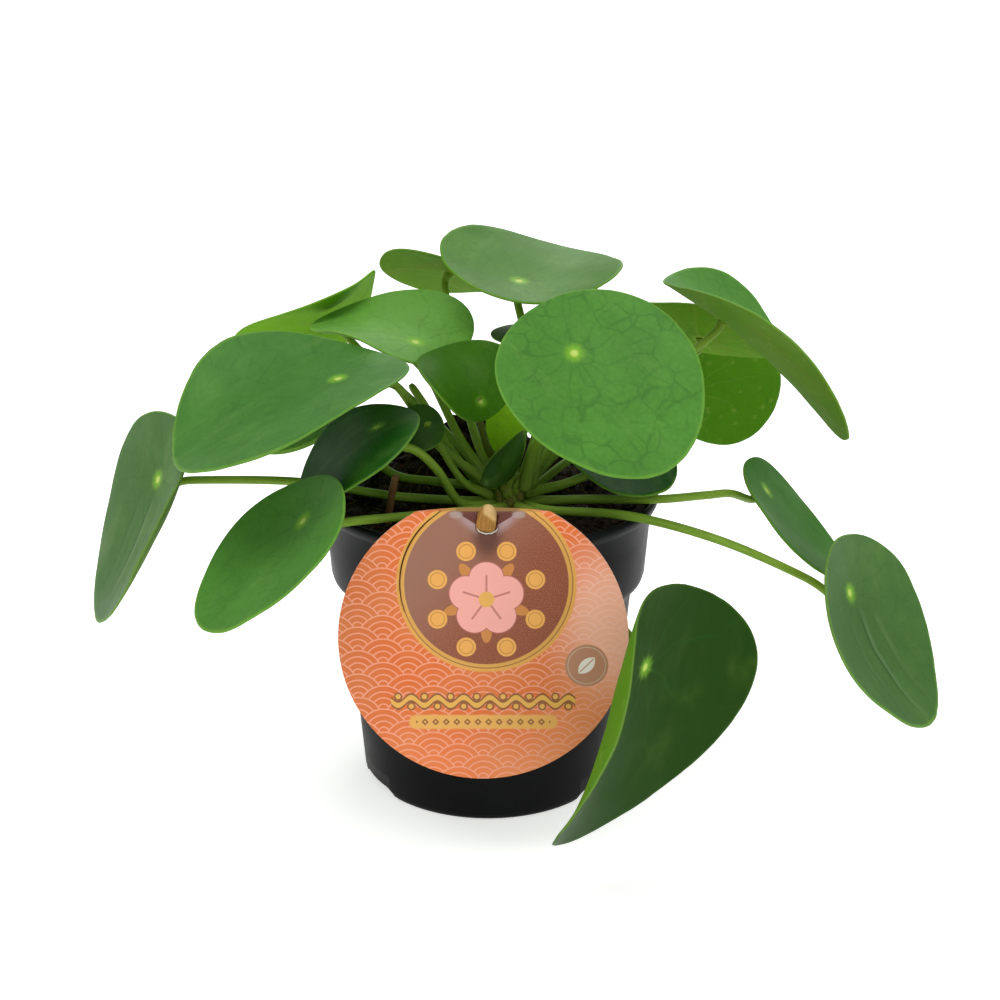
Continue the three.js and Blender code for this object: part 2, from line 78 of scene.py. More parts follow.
# spot: where the stalk meets the blade; turn: heading, droop and roll in degrees; size: length, width and the
# share of the length behind the spot; green and below: the colours of the upper and the lower face; egg: how
# much wider the blade is towards its tip; form: arch, fold, twist, lift and skew of the surface; root: the
# stalk's angle and height on the main stem; via: points of the stalk.
LEAVES = {
    "leaf_far_left": dict(
        spot=(-113, -15, 7.5), turn=(224, 68, 8), size=(75.5, 67, 0.31), green="dull",
        form=(-6.5, -6, 6, -1.5, 5), root=(187, -2.7), via=[(-32, -12, 0.6), (-65, -12, 5.8),
        (-100, -13, 6.8)]),
    "leaf_left_large": dict(
        spot=(-49, -28.5, 46.2), turn=(203, 14, -2.5), size=(83, 75, 0.29), green="leaf", egg=0.33,
        form=(8, -8.5, 3.5, 2, -7.5), root=(195, 5.2), via=[(-17, -9, 18), (-26, -7, 31.5),
        (-33.5, -12.5, 41)]),
    "leaf_lower_left": dict(
        spot=(-58.5, -57, 7), turn=(222, 45, 12.5), size=(63, 58, 0.27), green="fresh",
        form=(-5, -3.5, -0.5, -1, -2), root=(250, -2.7), via=[(-26, -40, 3), (-46, -52, 5)]),
    "leaf_left_inner": dict(
        spot=(-36.5, -31, 30.5), turn=(203, 24, 1), size=(50, 45, 0.28), green="deep",
        form=(5.5, 0.5, 1, -1, -3), root=(220, -2.7), via=[(-9.5, -20, 1), (-17, -26, 14.5),
        (-24.5, -29, 22.5)]),
    "leaf_left_small": dict(
        spot=(-20, -16, 27), turn=(190, 16, -50), size=(20, 18, 0.26), green="olive", form=(0.5, -1, 2, 0, 0),
        root=(206, 1.2), via=[(-9, -15, 7.5)]),
    "leaf_upper_left": dict(
        spot=(-25.5, 12, 49.5), turn=(135, -18, -2.5), size=(62.5, 55, 0.22), green="bright", egg=-0.32,
        form=(7, -6, -5.5, 1, 1), root=(168, 5.6), via=[(-10, 1, 18), (-20, 9.5, 36.5)]),
    "leaf_back_left": dict(
        spot=(-59, 61, 48), turn=(206, 22, 40), size=(61, 55, 0.38), green="lime",
        form=(-10.5, 2.5, 0, -3, -0.5), root=(124, 1.2), via=[(-16, 14, 17), (-38, 35, 32)]),
    "leaf_back_small": dict(
        spot=(-15, 70, 64), turn=(131, 10, 29), size=(50, 45, 0.33), green="moss", form=(1, -1, 0, 0, -0.5),
        root=(140, 5.2), via=[(-6, 8, 22), (-13, 50, 46)]),
    "leaf_top": dict(
        spot=(11, 24, 69), turn=(67, -8, 12), size=(71, 65.5, 0.32), green="moss",
        form=(-2.5, -8, -0.5, -2.5, -1), root=(45, 5.2), via=[(17.5, 2, 24), (15, 12, 44)]),
    "leaf_front_large": dict(
        spot=(28, -29, 55), turn=(319, 34, 32), size=(72, 65, 0.3), green="fresh",
        form=(-1.5, -4.5, 2, -2.5, -2), root=(315, 5.2), via=[(15.5, -16, 20), (26, -21, 39)]),
    "leaf_front_hidden": dict(
        spot=(30.5, -3.5, 50), turn=(42, -10, 42), size=(44, 43, 0.34), green="lime", egg=-0.15,
        form=(-4, -1, 2.5, 0.5, -2), root=(347, 5.2), via=[(19, -8, 20), (29, -3, 36)]),
    "leaf_centre_upright": dict(
        spot=(-2.5, -18.5, 36), turn=(147, -51, -31), size=(33, 32.5, 0.19), green="moss",
        form=(3, -10, 0, -2, 2), root=(190, 9.5), via=[(0, -9.5, 17)]),
    "leaf_back_right_low": dict(
        spot=(87.5, 118, 7), turn=(29, 37, -45), size=(63.5, 62, 0.33), green="moss", egg=0.05,
        form=(-1, -11, -5, -1.5, 4), root=(45, -2.7), via=[(35, 21, 7), (74, 66, 12)]),
    "leaf_back_right_high": dict(
        spot=(83.5, 74, 37.5), turn=(63, 35, -1), size=(56, 55, 0.43), green="moss", egg=-0.14,
        form=(-5, -4, 0, 0, 6), root=(42, 1.2), via=[(34, 17, 16), (66, 44, 29)]),
    "leaf_right_cupped": dict(
        spot=(82.5, 13.5, 57), turn=(3, 36, -7), size=(88, 76, 0.28), green="fresh", below="rosy", egg=-0.33,
        form=(5, -11, 0, 0.5, 6), root=(17, 5.2), via=[(30, 2, 24), (50, 8, 38), (68, 12, 44)]),
    "leaf_right_narrow": dict(
        spot=(99.5, 5, -3), turn=(344, 51, 1), size=(58, 53.5, 0.22), green="forest",
        form=(-1.5, -1.5, -1.5, 1, 0), root=(2, -2.7), via=[(34, -16, 0.8), (57, -21.5, 2.6), (75, -14, 1.6),
        (85, -6, -0.4)]),
    "leaf_far_right": dict(
        spot=(121, -38, -25), turn=(311, 68, -12.5), size=(67, 61, 0.29), green="dull", egg=-0.19,
        form=(-8.5, -7.5, 1, 0, 1), root=(331, -2.7), via=[(21, -24, -0.5), (47, -39, 2.6), (77, -40.5, -5.5),
        (106, -36, -20)]),
    "leaf_front_hanging": dict(
        spot=(47.5, -89, -28.5), turn=(212, 76, -110), size=(93, 84, 0.29), green="dark", below="forest",
        egg=-0.49, form=(-1, -16, 1.5, -6, -2.5), root=(300, -2.7), via=[(18, -34, 1), (22, -55.5, 3.4),
        (30, -60, -9), (38, -61.5, -20), (45.5, -62.8, -30), (49.5, -68, -32), (48.5, -79, -30.5)]),
    "leaf_soil_right": dict(
        spot=(43.5, -8, 17), turn=(283, 12, 0), size=(47, 40, 0.33), green="deep",
        form=(3, -1, -1.5, 1.5, -1.5), root=(350, 1.2), via=[(28, -13, 6)]),
    "leaf_top_small": dict(
        spot=(13, 30, 49), turn=(160, -5, -15), size=(18, 15, 0.3), green="olive", form=(1, 1, 0, 0, 0),
        root=(109, 5.2), via=[(3, 8, 12), (6, 14, 24), (11, 24, 38)]),
    # This leaf takes the paler bright green as painted light, since it lies in shade.
    "leaf_left_under": dict(
        spot=(-62, 10, 22), turn=(192, 24, 20), size=(48, 43, 0.33), green="bright",
        form=(-1, 7.5, 0, 1.5, -0.5), root=(146, 1.2), via=[(-19, -1, 2.5), (-33, 2, 4), (-46, 6, 13)]),
    "leaf_young_dark": dict(
        spot=(-0.5, -19, 8), turn=(12, -42, 50), size=(23.5, 9.5, 0.07), green="olive",
        form=(-1.5, 0.5, -2.5, 1, 3), root=(225, 5.3), via=[]),
    "leaf_young_bright": dict(
        spot=(6.5, 3, 13), turn=(80, -62, 0), size=(26, 15, 0.12), green="young", form=(0, -3, 0, 0, 0),
        root=(77, 5.2), via=[]),
}
LEAFLESS_STALK = dict(root=(176, 0.8), via=[(-15.5, -4, 18.5), (-21, -1, 28.5), (-27, 2, 37)])
DRY_STALK = [(-34, -19, -14), (-34, -19, -4), (-32.5, -19, 5), (-31, -18.5, 10.5)]

# ---------------------------------------------------------------- materials


def ink(code):
    """A colour written as #rrggbb, as linear red, green, blue and alpha."""
    levels = [int(code[i:i + 2], 16) / 255 for i in (1, 3, 5)]
    return tuple(c / 12.92 if c <= 0.04045 else ((c + 0.055) / 1.055) ** 2.4 for c in levels) + (1,)


class Num:
    """A number that a material's nodes work out, with the usual arithmetic."""

    def __init__(self, graph, socket):
        self.graph = graph
        self.socket = socket

    def __add__(self, other):
        return self.graph.math("ADD", self, other)

    def __sub__(self, other):
        return self.graph.math("SUBTRACT", self, other)

    def __rsub__(self, other):
        return self.graph.math("SUBTRACT", other, self)

    def __mul__(self, other):
        return self.graph.math("MULTIPLY", self, other)

    def __truediv__(self, other):
        return self.graph.math("DIVIDE", self, other)

    __radd__, __rmul__ = __add__, __mul__

    def apart(self):
        return self.graph.math("ABSOLUTE", self)


class Graph:
    """A procedural material: a Principled shader, the nodes that feed it and the colour painted so far."""

    def __init__(self, name, specular=0.5, uniform=None):
        self.material = bpy.data.materials.new(name)
        self.material.use_nodes = True
        self.tree = self.material.node_tree
        self.tree.nodes.clear()
        self.output = self.tree.nodes.new("ShaderNodeOutputMaterial")
        self.shader = self.tree.nodes.new("ShaderNodeBsdfPrincipled")
        self.link(self.shader.outputs[0], self.output.inputs["Surface"])
        self.colour = None
        self.seed = (0, 0, 0)
        for socket, value in {"Specular IOR Level": specular, **(uniform or {})}.items():
            self.shader.inputs[socket].default_value = value

    def link(self, value, socket):
        """Feeds a socket with a number, another socket, a colour written as #rrggbb, or a plain value."""
        if isinstance(value, Num):
            value = value.socket
        if isinstance(value, str):
            value = ink(value)
        if isinstance(value, bpy.types.NodeSocket):
            self.tree.links.new(value, socket)
        elif value is not None:
            socket.default_value = value

    def node(self, kind, inputs=(), **settings):
        made = self.tree.nodes.new("ShaderNode" + kind)
        for key, value in settings.items():
            setattr(made, key, value)
        pairs = inputs.items() if isinstance(inputs, dict) else enumerate(inputs)
        for key, value in pairs:
            self.link(value, made.inputs[key])
        return made

    def math(self, operation, a, b=None, c=None):
        return Num(self, self.node("Math", (a, b, c), operation=operation).outputs[0])

    def length(self, a, b):
        return self.math("SQRT", a * a + b * b)

    def mix(self, share, a, b):
        return self.node("Mix", {0: share, 6: a, 7: b}, data_type="RGBA").outputs[2]

    def step(self, value, low, high, start=0.0, end=1.0):
        """A smooth step from start to end as value goes from low to high, which may run downwards."""
        inputs = (value, low, high, start, end)
        return Num(self, self.node("MapRange", inputs, interpolation_type="SMOOTHSTEP").outputs[0])

    def coat(self, colour, share, *limits):
        """Paints over the colour so far, by a share or by the smooth step of a value between limits."""
        self.colour = self.mix(self.step(share, *limits) if limits else share, self.colour, colour)

    def texture(self, kind, place, scale, inputs, **settings):
        """A texture in millimetres, stretched by axis where scale is a tuple, and moved by the seed."""
        scale = scale if isinstance(scale, tuple) else (scale, scale, scale)
        place = self.node("VectorMath", (place, scale, self.seed), operation="MULTIPLY_ADD").outputs[0]
        return self.node("Tex" + kind, {"Vector": place, "Scale": 1.0, **inputs}, **settings).outputs

    def noise(self, place, scale, detail=2.0, rough=0.5):
        """Soft noise with features of about 1 / scale millimetres."""
        inputs = {"Detail": detail, "Roughness": rough}
        return Num(self, self.texture("Noise", place, scale, inputs)["Fac"])

    def cells(self, place, scale, feature="F1"):
        return Num(self, self.texture("Voronoi", place, scale, {}, feature=feature)["Distance"])

    def attribute(self, name):
        return self.node("Attribute", attribute_name=name).outputs["Vector"]

    def parts(self, vector):
        return [Num(self, socket) for socket in self.node("SeparateXYZ", (vector,)).outputs]

    def vector(self, x=0.0, y=0.0, z=0.0):
        return self.node("CombineXYZ", (x, y, z)).outputs[0]

    def bump(self, height, strength, distance, normal=None):
        inputs = {"Strength": strength, "Distance": distance, "Height": height, "Normal": normal}
        return self.node("Bump", inputs).outputs[0]

    def finish(self, roughness, normal=None, glow=None):
        """Feeds the shader; glow is the share of light let through, with its colour."""
        for socket, value in (("Base Color", self.colour), ("Roughness", roughness), ("Normal", normal)):
            self.link(value, self.shader.inputs[socket])
        if glow:
            share, tint = glow
            through = self.node("BsdfTranslucent", {"Color": tint, "Normal": normal})
            mixed = self.node("MixShader", (share, self.shader.outputs[0], through.outputs[0]))
            self.link(mixed.outputs[0], self.output.inputs["Surface"])
        return self.material


def blade_marks(graph):
    """The blade's main veins, which fan out from the stalk's spot, the net between them, and distances."""
    graph.seed = graph.attribute("seed")
    x, y, edge = graph.parts(graph.attribute("blade"))
    flat = graph.vector(x, y)
    wander = graph.noise(flat, 0.05, 1.0)
    distance = graph.length(x, y)
    count = 9
    sector = (graph.math("ARCTAN2", y, x) + wander * 1.1) * (count / (2 * math.pi))
    aside = (graph.math("FRACT", sector) - 0.5).apart() * distance * (2 * math.pi / count)
    main = graph.step(aside, 0.75, 0.1)
    rubbed = graph.noise(flat, 0.16, 2.0)
    shift = graph.vector(rubbed * 5.0, wander * 7.0)
    drift = graph.node("VectorMath", (flat, shift), operation="ADD").outputs[0]
    patchy = graph.step(graph.noise(flat, 0.07, 2.0), 0.38, 0.58)
    net = graph.step(graph.cells(drift, 0.125, "DISTANCE_TO_EDGE"), 0.08, 0.0) * patchy
    patches = graph.noise(flat, 0.045, 3.0, 0.55)
    return flat, drift, main, net, patches, distance, edge


def leaf_top_material(name, veins=0.3, through=0.12, gloss=0.12, spot=1.0, crease=0, rim=0.3, streaky=0.1):
    """The upper face: waxy green, with a pale spot over the stalk, veins, a pale margin and any folds,
    painted darker in their creases as painted shade and with painted highlights on their ridges.
    """
    graph = Graph(name, gloss)
    base = graph.attribute("tone")
    flat, drift, main, net, patches, distance, edge = blade_marks(graph)
    fine = graph.step(graph.cells(drift, 0.36, "DISTANCE_TO_EDGE"), 0.2, 0.0)
    tissue = graph.noise(flat, 0.6, 2.0)
    streaks = graph.noise(flat, (0.04, 0.16, 1.0), 3.0, 0.6)
    graph.colour = graph.mix(graph.step(patches, 0.32, 0.7, 0.16, 0.0), base, "#123a0c")
    graph.coat("#86b04c", patches, 0.55, 0.85, 0, 0.2)
    graph.coat("#9bb56a", streaks, 0.5, 0.75, 0, streaky)
    graph.coat("#1c4a12", tissue, 0.35, 0.7, 0.0, 0.1)
    graph.coat("#14401a", net * (0.42 * veins))
    graph.coat("#1b4a1a", fine * (0.14 * veins))
    graph.coat("#2a6020", main * graph.step(distance, 3.0, 34.0, 0.22, 0.1))
    if crease:
        x, y, _ = graph.parts(flat)
        wander = (graph.noise(flat, 0.05, 1.0) - 0.5) * 5.0
        reach = graph.step(x, 3.0, 14.0) * graph.step(x, 52.0, 26.0)
        folds = 0.0
        # Each fold is painted darker along its crease, as painted shade, with a painted highlight on the
        # ridge beside it; the same marks raise the bump.
        for aside, depth in ((0.6, 1.0), (-8.5, 0.35), (9.5, 0.3)):
            off = y * (1.0 + aside * 0.01) + wander - aside
            dent = graph.step(off.apart(), 1.2, 0.0) * reach
            graph.coat("#22421c", dent * (crease * depth))
            ridge = graph.step((off - 1.7).apart(), 1.4, 0.0) * reach
            graph.coat("#8ea482", ridge * (crease * depth * 0.5))
            folds = ridge * depth - dent * depth + folds
    graph.coat("#9cc84c", main * graph.step(distance, 6.0, 1.6, 0, 0.2 * spot))
    graph.coat("#8ac834", distance, 4.6, 1.3, 0, 0.6 * spot)
    graph.coat("#cfe070", distance, 1.8, 0.7, 0, 0.85 * spot)
    uneven = edge + (streaks - 0.5) * 0.03
    graph.coat("#8cc23c", uneven, 0.972, 0.992, 0, rim)
    rough = graph.step(patches, 0.2, 0.8, 0.5, 0.42)
    relief = tissue * 0.4 + streaks * 0.5 - main * 0.3 - net * 0.3
    if crease:
        relief = relief + folds * 0.8
    normal = graph.bump(relief, 0.25, 0.0003)
    return graph.finish(rough, normal, (through, graph.mix(0.55, base, "#8fc41e")))


def leaf_under_material(name, blush=0.0, through=0.2, pale=0.3):
    """The lower face: paler and duller, with pale specks, faint veins and sometimes a rosy cast."""
    graph = Graph(name, 0.02)
    base = graph.attribute("tone")
    flat, _, main, net, patches, distance, edge = blade_marks(graph)
    specks = graph.step(graph.cells(flat, 0.16), 0.26, 0.06)
    grit = graph.step(graph.cells(flat, 0.8), 0.2, 0.08)
    streaks = graph.noise(flat, (0.05, 0.22, 1.0), 3.0, 0.6)
    graph.colour = graph.mix(pale, base, "#8cb034")
    graph.coat("#387816", patches, 0.35, 0.7, 0, 0.25)
    if blush:
        graph.coat("#8a8036", streaks, 0.42, 0.72, 0, blush)
    graph.coat("#3f7428", net * 0.22)
    graph.coat("#8fb04c", main * graph.step(distance, 4, 36, 0.16, 0.03))
    graph.coat("#94b24c", specks * 0.35)
    graph.coat("#b6cc7c", grit * 0.2)
    graph.coat("#9cb84a", distance, 4.5, 1.5, 0, 0.6)
    graph.coat("#8aa85e", edge, 0.982, 0.994, 0, 0.35)
    relief = main * 0.7 + net * 0.3 + grit * 0.25
    rough = graph.step(patches, 0.2, 0.8, 0.55, 0.65)
    glow = (through, graph.mix(0.55, base, "#8fc41e"))
    return graph.finish(rough, graph.bump(relief, 0.3, 0.0004), glow)


def stalk_material(name, base, middle, end, streak):
    """A juicy stalk: colour changes along it, with fine lengthwise streaks and pale specks."""
    graph = Graph(name, 0.2)
    along, around, length = graph.parts(graph.attribute("stalk"))
    graph.seed = graph.attribute("seed")
    skin = graph.vector(around, length)
    streaks = graph.noise(skin, (9.0, 0.07, 1.0), 3.0, 0.6)
    specks = graph.step(graph.cells(skin, (4.0, 0.8, 1.0)), 0.22, 0.1)
    graph.colour = graph.mix(graph.step(along, 0.0, 0.3), base, middle)
    graph.coat(end, graph.step(along, 0.55, 1.0))
    graph.coat(streak, streaks, 0.42, 0.72, 0, 0.5)
    graph.coat("#b9cc7c", specks * 0.3)
    normal = graph.bump(streaks + specks * 0.4, 0.3, 0.0003)
    return graph.finish(graph.step(streaks, 0.3, 0.7, 0.4, 0.52), normal, (0.25, end))


def pot_material():
    """Satin black moulded plastic with faint turning marks, scuffs, specks of dust and a lighter tone towards
    the rim.
    """
    graph = Graph("pot_plastic", 0.06)
    place = graph.attribute("pot")
    _, _, height = graph.parts(place)
    mottling = graph.noise(place, 0.05, 4.0, 0.6)
    lines = graph.noise(graph.vector(0.0, 0.0, height), 1.6, 3.0, 0.7)
    scuffs = graph.step(graph.noise(place, (0.9, 0.9, 0.12), 3.0, 0.7), 0.62, 0.8)
    dust = graph.step(graph.noise(place, 0.4, 5.0, 0.75), 0.58, 0.8)
    graph.colour = graph.mix(graph.step(mottling, 0.35, 0.7), "#0b0c0c", "#101112")
    graph.coat("#15181a", height, 70.0, 106.0, 0.0, 0.5)
    graph.coat("#45443f", dust * 0.12)
    rough = graph.step(mottling, 0.3, 0.7, 0.38, 0.46) + scuffs * 0.14
    normal = graph.bump(lines, 0.1, 0.0002)
    normal = graph.bump(graph.noise(place, 2.0), 0.08, 0.00012, normal)
    return graph.finish(rough, normal)


def soil_material(name, low, high, speck, speck_share=0.4, scale=0.5):
    """Crumbly peat: dark grains with paler specks."""
    graph = Graph(name, 0.2)
    place = graph.attribute("grain")
    grains = graph.noise(place, scale, 6.0, 0.7)
    pits = graph.cells(place, 1.1)
    specks = graph.step(graph.cells(place, 0.55), 0.16, 0.07)
    graph.colour = graph.mix(graph.step(grains, 0.35, 0.7), low, high)
    graph.coat(speck, specks * speck_share)
    normal = graph.bump(grains - pits * 0.4, 0.9, 0.001)
    return graph.finish(graph.step(grains, 0.3, 0.7, 0.97, 0.82), normal)


def wood_material():
    """Pale wood along the stake's length, with darker grain and a painted highlight on its tip end."""
    graph = Graph("stake_wood", 0.3)
    across, along, depth = graph.parts(graph.attribute("stake"))
    wander = graph.noise(graph.vector(across, along, depth), (0.5, 0.06, 0.5), 3.0)
    rings = graph.math("SINE", (across + wander * 4.0) * 5.0)
    fibre = graph.noise(graph.vector(across, along, depth), (6.0, 0.25, 6.0), 3.0, 0.65)
    graph.colour = graph.mix(graph.step(rings, -0.6, 0.9, 0.0, 0.6), "#b4803a", "#96692c")
    graph.coat("#825a26", fibre, 0.45, 0.75, 0, 0.4)
    # A painted highlight on the stake's tip end.
    tip_highlight = graph.step(along + across * 0.8 + wander * 1.5, -2.4, -0.4, 0, 0.85)
    graph.coat("#dcb87c", tip_highlight)
    normal = graph.bump(fibre + rings * 0.2, 0.5, 0.0004)
    return graph.finish(graph.step(fibre, 0.3, 0.7, 0.55, 0.75), normal)


ROUNDEL = (1.0, 17.9)
BLOSSOM = (1.0, 13.0)
SEAL = (33.0, -8.6)


def card_material():
    """The printed face: rows of waves, a roundel with a blossom, a small seal, a gold rope and a band, with
    painted light, shade and sheen over it.
    """
    graph = Graph("card_print", 0.45)
    place = graph.attribute("card")
    x, y, _ = graph.parts(place)
    length = graph.length

    def away(centre):
        return length(x - centre[0], y - centre[1])

    def paint(code, value, edge, soft=0.2, share=1.0):
        """Paints over the colour where the value is below the edge."""
        graph.coat(code, value, edge + soft / 2, edge - soft / 2, 0, share)

    def petals(centre, count, turn):
        """Coordinates along and aside of the nearest of count equal rays from a centre."""
        angle = graph.math("ARCTAN2", y - centre[1], x - centre[0]) + (turn + 4 * math.pi)
        folded = graph.math("PINGPONG", angle, math.pi / count)
        far = away(centre)
        return far * graph.math("COSINE", folded), far * graph.math("SINE", folded)

    # Overlapping rows of arcs: each row covers the one above it, half a scale aside.
    scale, rise = 8.0, 3.85
    row = graph.math("CEIL", (y - scale) / rise)
    drop = y - row * rise
    odd = graph.math("FLOORED_MODULO", row, 2.0) * scale
    near = graph.math("PINGPONG", x + odd + 40 * scale, scale)
    radius = length(near, drop - 2 * rise)
    for arc in (length(scale - near, drop - rise), length(near, drop)):
        inside = graph.math("LESS_THAN", arc, scale)
        radius = arc * inside + radius * (1.0 - inside)
    band = graph.math("FRACT", radius / (scale / 4))
    grain = graph.noise(place, 3.0, 3.0, 0.7)
    cloud = graph.noise(place, 0.05, 2.0)
    graph.colour = graph.mix(graph.step(cloud, 0.35, 0.65), "#e06a22", "#dd7636")
    # Painted light towards the bottom and the lower right, painted shade towards the left, and a painted
    # sheen on the right, where the wave lines are paler too.
    graph.coat("#f08c50", y, -20.0, -42.0, 0, 0.4)
    graph.coat("#c8703c", x, -16.0, -46.0, 0, 0.3)
    graph.coat("#f8a26c", x - y * 0.6, 22.0, 50.0, 0, 0.45)
    sheen = graph.step(length(x - 42.0, (y - 6.0) * 0.8) + cloud * 8, 32.0, 10.0, 0, 0.7)
    graph.coat("#ffc8b0", sheen)
    lines = graph.mix(sheen, "#f0a284", "#ffcdba")
    graph.coat(lines, (band - 0.88).apart(), 0.15, 0.07, 0, 0.9)

    # The roundel, with its gold rims.
    centre = away(ROUNDEL)
    paint("#e0a24a", centre, 28.6, 0.6)
    paint("#8a5a2e", centre, 27.5, 0.3)
    paint("#d8a04a", centre, 27.2, 0.3)
    speckle = graph.mix(graph.step(grain, 0.3, 0.7), "#60281a", "#b0623c")
    # A painted sheen lightens the roundel's disc towards its upper left.
    disc_sheen = graph.step(y * 0.8 - x * 0.9 + cloud * 6, 3.0, 40.0, 0, 0.7)
    speckle = graph.mix(disc_sheen, speckle, "#9a705c")
    graph.coat(speckle, centre, 26.2, 25.9)

    # The stake has creased the card: painted shade above the two creases, a painted shadow under the stake,
    # and a painted sheen below the creases.
    sideways = (x - SLOT[0]).apart()
    above = y - 34.6 - sideways * 0.65
    # A painted shadow under the stake.
    paint("#3c140e", length(sideways, (y - 33.0) * 0.7), 4.2, 5.0, 0.7)
    lit = graph.step(above, -4.2, -0.2) * graph.step(above, 0.3, 0.0)
    lit = lit * graph.step(sideways, 2.4, 4.0) * graph.step(sideways, 12.0, 5.0)
    graph.coat("#b79fa6", lit * 0.7)
    shaded = graph.step(above, 0.0, 0.3) * graph.step(sideways, 9.6, 9.0)
    graph.coat("#5a1e0e", shaded * 0.9)
    graph.coat("#a0702c", graph.step(y, 41.0, 41.4) * graph.step(sideways, 10.5, 9.5))
    rubbed = length((sideways - 9.9) * 0.7, (y - 40.2) * 1.3) + grain * 1.2
    paint("#a8958c", rubbed, 2.0, 0.8, 0.8)

    # A five-petalled blossom, with a leaf between each two petals, in a ring of gold dots.
    along, aside = petals(BLOSSOM, 5, math.pi / 2)
    paint("#c9823c", length(along - 10.6, aside * 2.1), 3.6)
    along, aside = petals(BLOSSOM, 5, -math.pi / 2)
    petal = length(along - 6.9, aside * 0.94)
    paint("#b4665c", petal, 5.4)
    paint("#f0a89c", petal, 5.1)
    heart = away(BLOSSOM)
    rib = graph.step(aside, 0.4, 0.25) * graph.step(heart, 8.2, 7.6)
    graph.coat("#b4665c", rib * 0.8)
    paint("#e2aa50", heart, 2.5)
    along, aside = petals(BLOSSOM, 8, math.pi / 8)
    dot = length(along - 16.8, aside)
    paint("#e9a850", dot, 3.1)
    paint("#b87c34", (dot - 2.2).apart(), 0.12)

    # A small round seal with a plain leaf on it.
    seal = away(SEAL)
    paint("#bb8668", seal, 6.9)
    paint("#d9c2ae", (seal - 6.0).apart(), 0.1)
    lean = (x - SEAL[0]) * 0.7 + (y - SEAL[1]) * 0.7
    across = (x - SEAL[0]) * 0.7 - (y - SEAL[1]) * 0.7
    paint("#efe6da", length(lean, (across.apart() + 2.2)), 4.2)
    paint("#bb8668", across.apart() + graph.step(lean.apart(), 3.0, 4.6, 0, 9), 0.18, 0.1)

    # A gold rope with beads in its hollows, and under it a gold band of small lozenges.
    rope, reach, period = -20.5, 29.5, 4.2
    beyond = graph.step(x.apart(), reach, reach + 0.3, 0, 9)
    wave = graph.math("SINE", x * (math.pi / period)) * 1.3
    strand = (y - wave - rope).apart() * 0.75 + beyond
    facing = graph.math("SIGN", graph.math("SINE", x * (math.pi / period)))
    bead = length(graph.math("PINGPONG", x + 40 * period, period / 2) - period / 2, y - rope + facing * 1.6)
    bead = bead + beyond
    for shape, edge in ((strand, 1.15), (bead, 1.35)):
        paint("#8a5228", shape, edge)
    for shape, edge in ((strand, 0.65), (bead, 0.85)):
        paint("#e6ae4c", shape, edge)
    level, wide, step = -27.3, 21.5, 3.4
    strip = length(graph.math("MAXIMUM", x.apart() - wide, 0.0), y - level)
    paint("#e6ab52", strip, 2.3, 0.7)
    lozenge = graph.math("PINGPONG", x + (40.5 * step), step / 2) + (y - level).apart()
    lozenge = lozenge + graph.step(x.apart(), wide, wide + 0.2, 0, 9)
    paint("#8a5228", lozenge, 1.15)
    paint("#e6ab52", lozenge, 0.5)

    rough = graph.step(graph.noise(place, 0.08), 0.3, 0.7, 0.4, 0.5)
    return graph.finish(rough, graph.bump(grain, 0.06, 0.0001))


def paper_material():
    """The card's unprinted back and cut edges."""
    graph = Graph("card_paper")
    fibres = graph.noise(graph.attribute("card"), 2.5, 4.0, 0.7)
    graph.colour = graph.mix(fibres, "#cfcabf", "#e9e5dc")
    return graph.finish(graph.step(fibres, 0.3, 0.7, 0.8, 0.9), graph.bump(fibres, 0.4, 0.0002))


def stem_material(name, low, high, patch):
    """Corky green-brown skin with scars and dry patches."""
    graph = Graph(name, 0.3)
    place = graph.attribute("grain")
    grain = graph.noise(place, (0.5, 0.5, 0.9), 5.0, 0.65)
    graph.colour = graph.mix(graph.step(grain, 0.35, 0.7), low, high)
    graph.coat(patch, graph.noise(place, 0.35, 3.0), 0.5, 0.75, 0, 0.7)
    return graph.finish(graph.step(grain, 0.3, 0.7, 0.55, 0.8), graph.bump(grain, 0.6, 0.0008))


# ---------------------------------------------------------------- mesh helpers


def make_piece(name, points, faces, materials, nodes, attributes=None, slots_of=None, smooth=True):
    """A mesh piece from points in millimetres, riding on the root body in place of its CAD nodes."""
    mesh = bpy.data.meshes.new(name)
    mesh.from_pydata([Vector(p) * MM for p in points], [], faces)
    for key, values in (attributes or {}).items():
        layer = mesh.attributes.new(key, "FLOAT_VECTOR", "POINT")
        layer.data.foreach_set("vector", [c for value in values for c in value])
    for material in materials:
        mesh.materials.append(material)
    if slots_of:
        mesh.polygons.foreach_set("material_index", slots_of)
    mesh.polygons.foreach_set("use_smooth", [smooth] * len(mesh.polygons))
    mesh.update()
    piece = bpy.data.objects.new(name, mesh)
    bpy.context.scene.collection.objects.link(piece)
    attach(piece, "root")
    if nodes:
        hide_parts(*nodes)
    return piece


def turns(count):
    """The angles of count equal steps round a circle."""
    return [2 * math.pi * j / count for j in range(count)]


def walls(rings, count, first=0, inward=False):
    """Quads between each ring of count points and the next one."""
    faces = []
    for i in range(rings - 1):
        for j in range(count):
            a, b = first + i * count + j, first + i * count + (j + 1) % count
            faces.append((a, a + count, b + count, b) if inward else (a, b, b + count, a + count))
    return faces


def caps(rings, count, first=0):
    """The two end faces of a tube of rings."""
    last = first + (rings - 1) * count
    return [tuple(range(first + count - 1, first - 1, -1)), tuple(range(last, last + count))]


